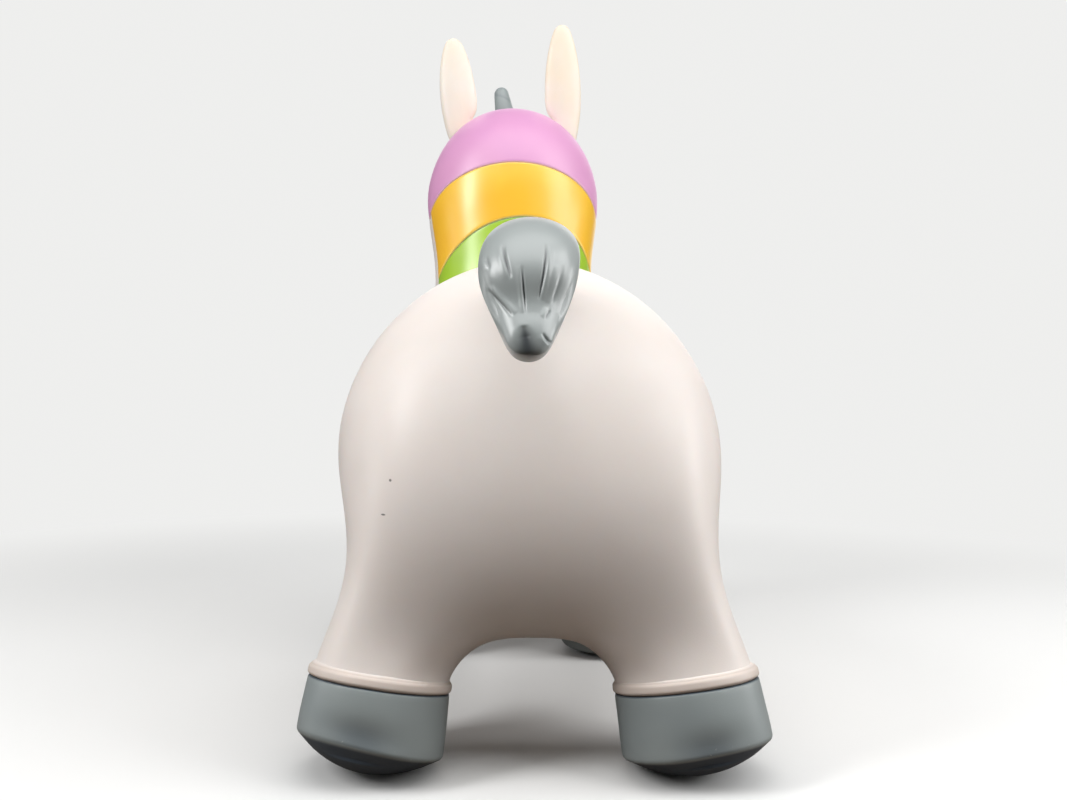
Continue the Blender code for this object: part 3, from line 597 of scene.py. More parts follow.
def turned(profile: Sequence[Point], steps: int) -> bmesh.types.BMesh:
    """Spins a profile about the Z axis.

    Args:
        profile: Points of radius and height.
        steps: Steps of the full turn.

    Returns:
        The turned mesh, whose faces may still point inwards.
    """
    bm = bmesh.new()
    points = [bm.verts.new((radius, 0, height)) for radius, height in profile]
    edges = [bm.edges.new(pair) for pair in zip(points, points[1:])]
    axis = {"cent": (0, 0, 0), "axis": (0, 0, 1), "angle": 2 * pi}
    bmesh.ops.spin(bm, geom=points + edges, steps=steps, use_merge=True, **axis)
    bmesh.ops.remove_doubles(bm, verts=bm.verts, dist=WELD)
    return bm


def face_out(bm: bmesh.types.BMesh, way_out: Callable[[bmesh.types.BMFace], Vector]) -> None:
    """Turns a mesh inside out where its faces mostly point inwards.

    Args:
        bm: The mesh.
        way_out: Gives the way out at a face.
    """
    if sum(face.normal.dot(way_out(face)) for face in bm.faces) < 0:
        bmesh.ops.reverse_faces(bm, faces=bm.faces)


def off_axis(face: bmesh.types.BMFace) -> Vector:
    """The way from the Z axis to a face's middle."""
    return face.calc_center_median().to_2d().to_3d()


def arc(middle: Point, radius: float, start: float, end: float, steps: int) -> list[Point]:
    """Points of a circular arc in a profile.

    Args:
        middle: Radius and height of its middle.
        radius: Its own radius.
        start: The first angle, 0 being outwards and a quarter turn being up.
        end: The last angle.
        steps: How many parts it has.

    Returns:
        Its points, from start to end.
    """
    angles = [start + (end - start) * step / steps for step in range(steps + 1)]
    return [(middle[0] + radius * cos(angle), middle[1] + radius * sin(angle)) for angle in angles]


def swell(value: float, low: float, high: float) -> float:
    """Rises smoothly from 0 at low to 1 at high."""
    share = min(max((value - low) / (high - low), 0), 1)
    return share * share * (3 - 2 * share)


# The one moulded skin


@dataclass(frozen=True)
class Stance:
    """Where one leg stands and how it leans; its frame has the sole's sphere in its middle.

    Attributes:
        name: The leg's name.
        side: The animal's left or right.
        x: How far out the hoof stands.
        y: How far forward it stands.
        lean: How far the leg leans forward on its way down.
        first_station: The cage station where its root starts.
        splay: How far the leg leans outwards on its way down.
        sole_radius: The radius of the sole's sphere.
        sole_flat: How much of that sphere is pressed flat on the floor.
        hip_rise: How far the hip lies above the sphere's middle.
    """

    name: str
    side: Side
    x: float
    y: float
    lean: float
    first_station: int
    splay: float = radians(8.3)
    sole_radius: float = 77 * MM
    sole_flat: float = 0.8 * MM
    hip_rise: float = 24 * MM

    @property
    def down(self) -> Vector:
        """The way down the leg."""
        return Vector((self.side.value * tan(self.splay), tan(self.lean), -1)).normalized()

    @property
    def frame(self) -> Matrix:
        """The leg's own frame.

        Returns:
            The frame, whose -Z runs down to the hoof.
        """
        turn = Vector((0, 0, -1)).rotation_difference(self.down)
        middle = Vector((self.side.value * self.x, self.y, self.sole_radius - self.sole_flat))
        return Matrix.Translation(middle) @ turn.to_matrix().to_4x4()

    @property
    def hip(self) -> Vector:
        """The middle of the hip, about which the leg splays."""
        return self.frame @ Vector((0, 0, self.hip_rise))


def stances() -> list[Stance]:
    """The four legs.

    Returns:
        The rear ones first, each left and then right.
    """
    ends = (("rear", 92 * MM, -184 * MM, -12, 0), ("front", 82 * MM, 76 * MM, 7, 4))
    return [
        Stance(f"{end}_{side.word}", side, x, y, radians(lean), station)
        for end, x, y, lean, station in ends
        for side in Side
    ]


@dataclass(frozen=True)
class NeckRing:
    """One ring of the cage about the neck, the head or the muzzle.

    Attributes:
        reach: How far ahead of the neck's base its middle lies.
        rise: How far above it.
        lean: How far the ring's own way up leans forward.
        width: The ring's width.
        depth: Its size from back to front.
    """

    reach: float
    rise: float
    lean: float
    width: float
    depth: float


@dataclass(frozen=True)
class Spot:
    """A place on the skin.

    Attributes:
        point: Where it is.
        out: The way out of the skin there.
    """

    point: Vector
    out: Vector


LEG_KEYS = ((0, 5), (0, 6), (0, 7), (1, 7), (2, 7), (2, 6), (2, 5), (1, 5))
NECK_KEYS = ((0, 0), (0, 1), (0, 2), (1, 2), (2, 2), (2, 1), (2, 0))


@dataclass
class MouldedSkin:
    """The whole outer form of the toy as one closed smooth surface.

    The barrel's cage has stations from the rump to the chest, and columns from the back's middle
    down to the belly's. Shares are by station or by column.

    Attributes:
        stances: The four legs.
        body_length: From the first station to the last one.
        body_width: The barrel's width, which its cage points set.
        back_height: The back's height over the floor.
        belly_height: The belly's height over the floor.
        rump_y: Where the first station stands.
        rump_swell: How far the rump bulges behind it.
        chest_swell: How far the chest bulges ahead of the last station.
        leg_radius: The legs' radius at the hooves.
        hoof_depth: How deep under the legs' skin the hooves reach.
        neck_base: The middle of the neck's base.
        head_rise: How far above it the head's middle lies.
        head_reach: How far ahead of it the head's middle lies.
        nose_reach: How far ahead of it the nose ends.
        neck_size: The neck's width and depth.
        head_size: The head's width and depth.
        muzzle_size: The muzzle's width and depth.
        top_shares: The back's height at each station.
        belly_shares: The belly's height at each station.
        fall_shares: How high each column runs between belly and back.
        flank_shares: How far forward each station stands at the flank.
        back_shares: The same at the back.
        girth_shares: The width of each station.
        side_shares: How far out each of the upper columns runs.
        leg_drops: How far down each ring of a leg stands.
        leg_widths: How wide each of them is.
        stations: How many stations there are.
        columns: How many columns there are.
        level: How finely the cage is divided.
    """

    stances: list[Stance]
    body_length: float = 392 * MM
    body_width: float = 265 * MM
    back_height: float = 325 * MM
    belly_height: float = 80 * MM
    rump_y: float = -235 * MM
    rump_swell: float = 42 * MM
    chest_swell: float = 24 * MM
    leg_radius: float = LEG_RADIUS
    hoof_depth: float = HOOF_DEPTH
    neck_base: Vector = field(default_factory=lambda: Vector((0, 96 * MM, 300 * MM)))
    head_rise: float = 150 * MM
    head_reach: float = 40 * MM
    nose_reach: float = 186 * MM
    neck_size: tuple[float, float] = (144 * MM, 124 * MM)
    head_size: tuple[float, float] = (166 * MM, 158 * MM)
    muzzle_size: tuple[float, float] = (98 * MM, 84 * MM)
    top_shares: Sequence[float] = (0.92, 1.03, 1.025, 0.93, 0.91, 0.93, 0.88)
    belly_shares: Sequence[float] = (1.05, 1.0, 1.0, 1.05, 1.05, 1.1, 1.3)
    fall_shares: Sequence[float] = (1.0, 0.94, 0.815, 0.63, 0.42, 0.18, 0.03, 0, 0)
    flank_shares: Sequence[float] = (0.05, 0.18, 0.35, 0.52, 0.68, 0.82, 0.97)
    back_shares: Sequence[float] = (0.11, 0.25, 0.40, 0.53, 0.65, 0.84, 0.99)
    girth_shares: Sequence[float] = (0.78, 1.0, 1.04, 0.96, 0.90, 0.90, 0.74)
    side_shares: Sequence[float] = (0, 0.40, 0.715, 0.925, 1.0)
    leg_drops: Sequence[float] = (0.22, 0.62, 1.15)
    leg_widths: Sequence[float] = (0.96, 0.98, 1.0)
    stations: int = 7
    columns: int = 9
    level: int = 3

    @property
    def head_middle(self) -> Vector:
        """The middle of the head."""
        return self.neck_base + Vector((0, self.head_reach, self.head_rise))

    def neck_rings(self) -> list[NeckRing]:
        """The rings of the neck, the head and the muzzle.

        Returns:
            The rings, from the neck's base to the nose.
        """
        rise, reach, nose = self.head_rise, self.head_reach, self.nose_reach
        (neck_w, neck_d), (head_w, head_d) = self.neck_size, self.head_size
        rows = (
            (0, 0.10 * rise, 8, neck_w, neck_d),
            (0.10 * reach, 0.42 * rise, 24, neck_w, neck_d),
            (0.35 * reach, 0.80 * rise, 40, 1.02 * head_w, head_d),
            (reach, rise, 64, 0.83 * head_w, 0.89 * head_d),
            (0.48 * nose, 0.96 * rise, 86, 0.84 * head_w, 0.82 * head_d),
            (0.72 * nose, 0.80 * rise, 102, *self.muzzle_size),
            (0.97 * nose, 0.66 * rise, 108, *self.muzzle_size),
        )
        return [NeckRing(out, up, radians(lean), *size) for out, up, lean, *size in rows]

    def floor_point(self, station: int, column: int) -> Vector:
        """Where a station crosses a low column; under a leg it follows the leg's own axis.

        Args:
            station: The station's number, from the rump.
            column: The column's number, from the back.

        Returns:
            X and Y of the point.
        """
        for stance in self.stances[1::2]:
            step = station - stance.first_station
            if 0 <= step <= 2:
                sides = {5: 0.55, 6: 0, 7: -1.45}
                out_share = (0.80, 1.0, 0.80)[step] * sides.get(column, 0)
                x = stance.hip.x + self.leg_radius * out_share if column in sides else 0
                return Vector((x, stance.hip.y + (step - 1) * self.leg_radius))
        return (self.floor_point(station - 1, column) + self.floor_point(station + 1, column)) / 2

    def body_point(self, station: int, column: int) -> Vector:
        """The cage point where a station crosses a column, on the animal's right.

        Args:
            station: The station's number, from the rump.
            column: The column's number, from the back.

        Returns:
            The point.
        """
        top = self.back_height * self.top_shares[station]
        belly = self.belly_height * self.belly_shares[station]
        z = belly + (top - belly) * self.fall_shares[column]
        if column > 4:
            return self.floor_point(station, column).to_3d() + Vector((0, 0, z))
        flank_y = self.rump_y + self.body_length * self.flank_shares[station]
        back_y = self.rump_y + self.body_length * self.back_shares[station]
        x = self.body_width / 2 * self.girth_shares[station] * self.side_shares[column]
        return Vector((x, back_y + (flank_y - back_y) * min(column / 3, 1), z))

    def close_end(self, bm: bmesh.types.BMesh, grid: dict, station: int, bulge: float) -> None:
        """Closes the barrel at an end station with two rows of quads, swollen along Y.

        Args:
            bm: The cage.
            grid: Its vertices by station and column.
            station: The first or the last station.
            bulge: How far the end swells, with its sign along Y.
        """
        widest = grid[station, 4].co
        inner = []
        for column, (place, share) in enumerate(((0, 1.0), (0.42, 0.92), (0.78, 0.62))):
            point = grid[station, self.columns - 1 - column].co.lerp(grid[station, column].co, 0.46)
            point.x = widest.x * place
            point.y = widest.y + bulge * share
            inner.append(bm.verts.new(point))
        rows = (
            [grid[station, column] for column in range(4)],
            inner + [grid[station, 4]],
            [grid[station, self.columns - 1 - column] for column in range(4)],
        )
        for upper, lower in zip(rows, rows[1:]):
            for i in range(3):
                bm.faces.new((upper[i], upper[i + 1], lower[i + 1], lower[i]))

    def extrude_tube(
        self,
        bm: bmesh.types.BMesh,
        tag: object,
        faces: list[bmesh.types.BMFace],
        rings: int,
        place: Callable[[int, int, int], Vector],
    ) -> None:
        """Extrudes a patch of faces once for each ring.

        Args:
            bm: The cage.
            tag: The layer that holds each vertex's station and column.
            faces: The patch.
            rings: How many rings follow it.
            place: Gives a point by ring number, station and column.
        """
        for ring in range(rings):
            made = bmesh.ops.extrude_face_region(bm, geom=faces)["geom"]
            bmesh.ops.delete(bm, geom=[face for face in faces if face.is_valid], context="FACES")
            faces = [item for item in made if isinstance(item, bmesh.types.BMFace)]
            for item in made:
                if isinstance(item, bmesh.types.BMVert):
                    item.co = place(ring, *divmod(item[tag], self.columns))
        flat = [face for face in bm.faces if all(abs(vert.co.x) < WELD for vert in face.verts)]
        bmesh.ops.delete(bm, geom=flat, context="FACES")

    def leg_place(self, stance: Stance, ring: int, station: int, column: int) -> Vector:
        """Places the cage points of a ring about a leg.

        Args:
            stance: The leg.
            ring: The ring's number.
            station: The station that the point came from.
            column: The column that it came from.

        Returns:
            The point, or the middle of the leg's end.
        """
        drop = self.hoof_depth * self.leg_drops[ring]
        key = (station - stance.first_station, column)
        if key not in LEG_KEYS:
            return stance.frame @ Vector((0, 0, -drop))
        turn = -pi / 4 - LEG_KEYS.index(key) * pi / 4
        radius = self.leg_radius * self.leg_widths[ring] / 0.915
        return stance.frame @ Vector((radius * cos(turn), radius * sin(turn), -drop))

    def neck_place(self, index: int, station: int, column: int) -> Vector:
        """Places the cage points of a ring about the neck, the head or the muzzle.

        Args:
            index: The ring's number.
            station: The station that the point came from.
            column: The column that it came from.

        Returns:
            The point.
        """
        ring = self.neck_rings()[index]
        along = Vector((0, sin(ring.lean), cos(ring.lean)))
        forward = Vector((0, cos(ring.lean), -sin(ring.lean)))
        middle = self.neck_base + Vector((0, ring.reach, ring.rise))
        key = (station - 4, column)
        half_width, half_depth = ring.width / 1.92, ring.depth / 1.92
        if key not in NECK_KEYS:
            return middle + Vector((column * half_width / 2, 0, 0)) + along * 0.12 * self.muzzle_size[1]
        turn = NECK_KEYS.index(key) * pi / 6
        point = middle - forward * half_depth * cos(turn)
        point.x = half_width * sin(turn)
        return point

    def cage(self) -> bmesh.types.BMesh:
        """Makes the right half of the cage and mirrors it.

        Returns:
            The whole cage: a barrel, four legs, and the neck with the head.
        """
        bm = bmesh.new()
        tag = bm.verts.layers.int.new("spot")
        across, along = self.columns - 1, self.stations - 1
        bmesh.ops.create_grid(bm, x_segments=across, y_segments=along, size=1)
        grid = {}
        for vert in bm.verts:
            column = round((vert.co.x + 1) / 2 * across)
            station = round((vert.co.y + 1) / 2 * along)
            grid[station, column] = vert
            vert[tag] = station * self.columns + column
        spots = {face: min(vert[tag] for vert in face.verts) for face in bm.faces}
        faces = {divmod(spot, self.columns): face for face, spot in spots.items()}
        for (station, column), vert in grid.items():
            vert.co = self.body_point(station, column)
        self.close_end(bm, grid, 0, -self.rump_swell)
        self.close_end(bm, grid, along, self.chest_swell)
        patches = []
        for stance in self.stances[1::2]:
            first = stance.first_station
            patch = [faces[first + step, column] for step in (0, 1) for column in (5, 6)]
            patches.append((patch, stance))
        neck_patch = [faces[4 + step, column] for step in (0, 1) for column in (0, 1)]
        for patch, stance in patches:
            place = partial(self.leg_place, stance)
            self.extrude_tube(bm, tag, patch, len(self.leg_drops), place)
        self.extrude_tube(bm, tag, neck_patch, len(self.neck_rings()), self.neck_place)
        bmesh.ops.mirror(bm, geom=parts_of(bm), matrix=Matrix.Identity(4), merge_dist=WELD, axis="X")
        bmesh.ops.recalc_face_normals(bm, faces=bm.faces)
        return bm

    def __post_init__(self) -> None:
        """Makes the surface, with the way out stored at each of its points."""
        self.surface = smoothed(self.cage(), self.level)
        out = self.surface.verts.layers.float_vector.new("way_out")
        for vert in self.surface.verts:
            vert[out] = vert.normal
        self.tree = BVHTree.FromBMesh(self.surface)

    def find(self, start: Vector, direction: Vector) -> Spot:
        """Where a ray meets the skin.

        Args:
            start: The ray's start.
            direction: Its direction.

        Returns:
            The place, with the way out there.
        """
        point, normal, index, _ = self.tree.ray_cast(start, direction)
        self.surface.faces.ensure_lookup_table()
        face = self.surface.faces[index]
        out = Vector()
        for vert in face.verts:
            out += vert.normal / max((vert.co - point).length, WELD)
        return Spot(point, out.normalized())

    def copy(self) -> bmesh.types.BMesh:
        """The surface again, to be cut."""
        return self.surface.copy()


def add_skin(bm: bmesh.types.BMesh, name: str, finish: Vinyl) -> bpy.types.Object:
    """A piece of the moulded skin, shaded as the whole skin is, so that no seam shows.

    Args:
        bm: The mesh, with its stored way out.
        name: The piece's name.
        finish: What covers it.

    Returns:
        The new object.
    """
    out = bm.verts.layers.float_vector["way_out"]
    normals = [vert[out].normalized() for vert in bm.verts]
    piece = add_piece(bm, name, finish)
    piece.data.attributes.remove(piece.data.attributes["way_out"])
    piece.data.normals_split_custom_set_from_vertices(normals)
    return piece


@dataclass
class Body:
    """The torso, legs, neck and head: the one skin, parted where it bends.

    Attributes:
        skin: The moulded skin.
        hip_start: How far below the hip the leg starts to follow.
        hip_end: How far below the hip it follows fully.
        neck_lean: How far the neck's bend leans forward.
        neck_bend: How long the neck's bend is.
        band_lean: How far the bands' line, the way up across the mane's bands, leans forward.
        head_line: Where the head starts along the bands' line.
        leg_reach: How far from a leg's axis its skin may lie.
        leg_range: How far from the hip, along the leg.
        midline: How far from the toy's middle.
    """

    skin: MouldedSkin
    hip_start: float = 11.5 * MM
    hip_end: float = 38 * MM
    neck_lean: float = radians(20)
    neck_bend: float = 62 * MM
    band_lean: float = radians(40)
    head_line: float = 369 * MM
    leg_reach: float = 75 * MM
    leg_range: float = 80 * MM
    midline: float = 5 * MM

    @property
    def neck_line(self) -> Vector:
        """The way up the neck's bend."""
        return Vector((0, sin(self.neck_lean), cos(self.neck_lean)))

    @property
    def band_line(self) -> Vector:
        """The way up that the mane's bands are measured along."""
        return Vector((0, sin(self.band_lean), cos(self.band_lean)))

    def below_hip(self, stance: Stance, point: Vector) -> float:
        """How far below a hip a point lies, or less than nothing where it isn't near that leg.

        Args:
            stance: The leg.
            point: The point.

        Returns:
            The distance down the leg.
        """
        to_point = point - stance.hip
        drop = to_point.dot(stance.down)
        near = (to_point - stance.down * drop).length < self.leg_reach and abs(drop) < self.leg_range
        return drop if near and point.x * stance.side.value > self.midline else -1

    def foot_drop(self, stance: Stance) -> float:
        """How far below a hip its hoof starts."""
        return stance.hip_rise + stance.sole_radius - self.skin.hoof_depth

    def label(self, point: Vector) -> str:
        """Tells which piece a point of the skin belongs to.

        Args:
            point: The point.

        Returns:
            The piece's label, or nothing where a hoof takes the skin's place.
        """
        for stance in self.skin.stances:
            drop = self.below_hip(stance, point)
            if drop > self.hip_start:
                return stance.name + "_leg" if drop < self.foot_drop(stance) else ""
        if (point - self.skin.neck_base).dot(self.neck_line) < 0:
            return "body"
        return "head" if point.dot(self.band_line) > self.head_line else "neck"

    def build(self) -> None:
        """Parts the skin and hangs each piece on its bodies."""
        whole = self.skin.copy()
        for stance in self.skin.stances:
            for drop in (self.hip_start, self.foot_drop(stance)):
                near = [f for f in whole.faces if self.below_hip(stance, f.calc_center_median()) > -0.5]
                cut(whole, stance.hip + stance.down * drop, stance.down, faces=near)
        cut(whole, self.skin.neck_base, self.neck_line)
        cut(whole, self.band_line * self.head_line, self.band_line)
        labels = [self.label(face.calc_center_median()) for face in whole.faces]
        for name in sorted(set(labels) - {""}):
            part = whole.copy()
            others = [face for face, label in zip(part.faces, labels) if label != name]
            bmesh.ops.delete(part, geom=others, context="FACES")
            piece = add_skin(part, name + "_skin", WHITE_SKIN)
            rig.slot(piece, "skin_white")
            self.hang(piece, name)
        whole.free()

    def hang(self, piece: bpy.types.Object, name: str) -> None:
        """Lets a piece of the skin ride on, or bend between, the bodies that it covers.

        Args:
            piece: The piece.
            name: Its label.
        """
        if name == "body":
            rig.ride(piece, "torso")
            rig.replaces(piece, "body_shell")
        elif name == "head":
            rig.ride(piece, "neck_and_head")
            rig.replaces(piece, "head_shell")
        elif name == "neck":
            self.bend_with_neck(piece)
            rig.replaces(piece, "neck_shell")
        else:
            stance = next(s for s in self.skin.stances if name.startswith(s.name))
            start, end = (stance.hip + stance.down * drop for drop in (self.hip_start, self.hip_end))
            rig.blend(piece, "torso", stance.name + "_leg_and_hoof", start, end)
            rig.replaces(piece, name)

    def bend_with_neck(self, piece: bpy.types.Object) -> None:
        """Lets a piece bend between the torso and the head, as the neck's skin does."""
        start = self.skin.neck_base
        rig.blend(piece, "torso", "neck_and_head", start, start + self.neck_line * self.neck_bend)


# Feet


@dataclass(frozen=True)
class Dent:
    """A soft hollow in a hoof's side.

    Attributes:
        heading: The way that it faces, 0 being straight back.
        height: How far under the groove its middle lies.
        wide: How wide it is, as an angle.
        tall: How tall it is.
        depth: How deep it is.
    """

    heading: float
    height: float
    wide: float
    tall: float
    depth: float


@dataclass
class Foot:
    """A hoof with its bulging sole, under the raised white cuff that ends the leg's skin.

    Attributes:
        stance: The leg that it stands under.
        dents: The hollows in the hoof's side.
        lift: How far the rim rises on the side at lift_heading, as the sole is squeezed out there.
        lift_heading: The way that this side faces.
        radius: The hoof's radius under the groove.
        flare: How much wider it is at its rim.
        depth: How deep it is, with the sole.
        rim_round: The size of the rim's rounding.
        cuff_height: The height of the raised bead.
        cuff_proud: How far it stands out over the hoof.
        bead: The radius of the bead's upper edge.
        lower_bead: The radius of its lower edge.
        groove: The gap between the bead and the hoof.
        tuck: How far the cuff's ends reach into the leg.
        leg_radius: The radius of the leg above it.
        steps: Steps round the hoof.
    """

    stance: Stance
    dents: Sequence[Dent] = ()
    lift: float = 0
    lift_heading: float = 0
    radius: float = 44.5 * MM
    flare: float = 1.2 * MM
    depth: float = HOOF_DEPTH
    rim_round: float = 4.2 * MM
    cuff_height: float = 6.6 * MM
    cuff_proud: float = 0.5 * MM
    bead: float = 2.4 * MM
    lower_bead: float = 2 * MM
    groove: float = 0.5 * MM
    tuck: float = 3 * MM
    leg_radius: float = LEG_RADIUS
    steps: int = 120

    @property
    def top(self) -> float:
        """The height of the groove between cuff and hoof, in the leg's frame."""
        return self.depth - self.stance.sole_radius

    def place(self, bm: bmesh.types.BMesh) -> None:
        """Moves a turned mesh from the leg's frame to where it stands."""
        bmesh.ops.transform(bm, matrix=self.stance.frame, verts=bm.verts)

    def ripple(self, bm: bmesh.types.BMesh, depth: float, size: float) -> None:
        """Makes a turned mesh a little uneven, as trimmed soft vinyl is.

        Args:
            bm: The mesh.
            depth: How far its points move.
            size: The width of the waves.
        """
        bm.normal_update()
        seed = Vector((self.stance.x * self.stance.side.value, self.stance.y, 0)) * 40
        moves = [noise.noise(vert.co / size + seed) * depth for vert in bm.verts]
        for vert, move in zip(bm.verts, moves):
            vert.co += vert.normal * move

    def cuff(self) -> bpy.types.Object:
        """The raised bead, with a soft fillet into the leg above it.

        Returns:
            The piece.
        """
        low = self.top + self.groove
        high = low + self.cuff_height
        out = self.radius + self.cuff_proud
        profile = [(self.leg_radius - self.tuck, high + 2 * MM)]
        profile.append((self.leg_radius - 1.1 * MM, high + 0.7 * MM))
        profile.append((self.leg_radius - 0.3 * MM, high + 0.1 * MM))
        profile += arc((out - self.bead, high - 2.6 * MM), self.bead, radians(66), radians(8), 6)
        under = (out - 1.9 * MM, low + self.lower_bead)
        profile += arc(under, self.lower_bead, radians(4), radians(-76), 7)
        profile.append((self.radius - 1.6 * MM, low - 0.4 * MM))
        profile.append((self.leg_radius - self.tuck, low - 0.6 * MM))
        bm = turned(profile, self.steps)
        bmesh.ops.recalc_face_normals(bm, faces=bm.faces)
        face_out(bm, off_axis)
        # Painted shade over the whole bead, darkest at its foot by the groove and gone above its upper edge.
        crease = bm.verts.layers.float.new("crease")
        for vert in bm.verts:
            vert[crease] = 0.6 + 0.4 * (1 - swell(vert.co.z, low, low + 2 * MM))
            vert[crease] *= 1 - swell(vert.co.z, high + 0.4 * MM, high + 1.2 * MM)
        self.ripple(bm, 0.25 * MM, 14 * MM)
        self.place(bm)
        return add_piece(bm, self.stance.name + "_cuff", WHITE_SKIN)

    def profile(self) -> list[Point]:
        """The hoof's side, rim and sole.

        Returns:
            Points of radius and height, from the groove down.
        """
        sole = self.stance.sole_radius
        rim = self.radius + self.flare - 0.4 * MM - self.rim_round / 2
        widest = asin(rim / sole)
        rim_height = -sole * cos(widest)
        foot = rim_height + self.rim_round * 0.72
        points = [(self.radius - 3.5 * MM, self.top - 0.2 * MM)]
        shoulder = (self.radius - 1.6 * MM, self.top - 1.6 * MM)
        points += arc(shoulder, 1.5 * MM, radians(100), radians(5), 5)
        for share in (0.12, 0.3, 0.5, 0.7, 0.85, 1.0):
            bulge = self.flare * swell(share, -0.2, 0.95)
            points.append((self.radius + bulge, self.top - 2 * MM + (foot - self.top + 2 * MM) * share))
        turn = self.rim_round * 0.8
        points += arc((points[-1][0] - turn, points[-1][1]), turn, radians(-12), radians(-52), 5)
        for step in range(1, 15):
            angle = widest * (1 - step / 14) * 0.985
            points.append((sole * sin(angle), -sole * cos(angle)))
        return points

    def hoof(self) -> bpy.types.Object:
        """The grey hoof: its side with soft dents, its rim, and the sole cut flat on the floor.

        Returns:
            The piece.
        """
        bm = turned(self.profile(), self.steps)
        bmesh.ops.subdivide_edges(bm, edges=bm.edges, cuts=1, use_grid_fill=True, smooth=0)
        bmesh.ops.recalc_face_normals(bm, faces=bm.faces)
        face_out(bm, off_axis)
        crease = bm.verts.layers.float.new("crease")
        wear = bm.verts.layers.float.new("wear")
        rim_height = -self.stance.sole_radius * cos(asin(self.radius / self.stance.sole_radius))
        for vert in bm.verts:
            out = hypot(vert.co.x, vert.co.y)
            heading = atan2(vert.co.x, -vert.co.y)
            for dent in self.dents:
                off = ((heading - dent.heading) / dent.wide) ** 2
                off += ((vert.co.z - self.top + dent.height) / dent.tall) ** 2
                if out > self.radius * 0.8:
                    pull = dent.depth * exp(-off)
                    vert.co.x -= vert.co.x / out * pull
                    vert.co.y -= vert.co.y / out * pull
                    # Painted shade in the dent.
                    vert[crease] = 0.5 * exp(-off)
            # Painted shade in the groove under the cuff, and over the whole sole below the rim.
            vert[crease] += 0.75 * (1 - swell(self.top - vert.co.z, 0.3 * MM, 1.4 * MM))
            if vert.co.z < rim_height:
                vert[crease] = swell(rim_height - vert.co.z, 0.2 * MM, 1.5 * MM)
            vert[wear] = exp(-(((vert.co.z - rim_height - 1 * MM) / (1.6 * MM)) ** 2))
            near_rim = (out / self.radius) ** 3 * (1 - swell(vert.co.z, rim_height + 1 * MM, self.top))
            vert.co.z += self.lift * near_rim * ((1 + cos(heading - self.lift_heading)) / 2) ** 2
        self.ripple(bm, 0.3 * MM, 26 * MM)
        self.place(bm)
        for vert in bm.verts:
            vert.co.z = max(vert.co.z, 0)
        return add_piece(bm, self.stance.name + "_hoof_cup", GREY_HOOF)

    def build(self) -> None:
        """Makes both pieces and lets them ride with the leg."""
        cuff, hoof = self.cuff(), self.hoof()
        for piece, slot in ((cuff, "skin_white"), (hoof, "hoof_grey")):
            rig.ride(piece, self.stance.name + "_leg_and_hoof")
            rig.slot(piece, slot)
        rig.replaces(hoof, self.stance.name + "_hoof")


# Mane


@dataclass
class Band:
    """One painted, slightly raised band of the mane.

    Attributes:
        name: Its colour.
        low: A point of its lower edge, and the way up from it.
        high: The same for its upper edge.
        relief: How proud it stands.
        finish: Its paint.
    """

    name: str
    low: tuple[Vector, Vector]
    high: tuple[Vector, Vector]
    relief: float
    finish: Vinyl


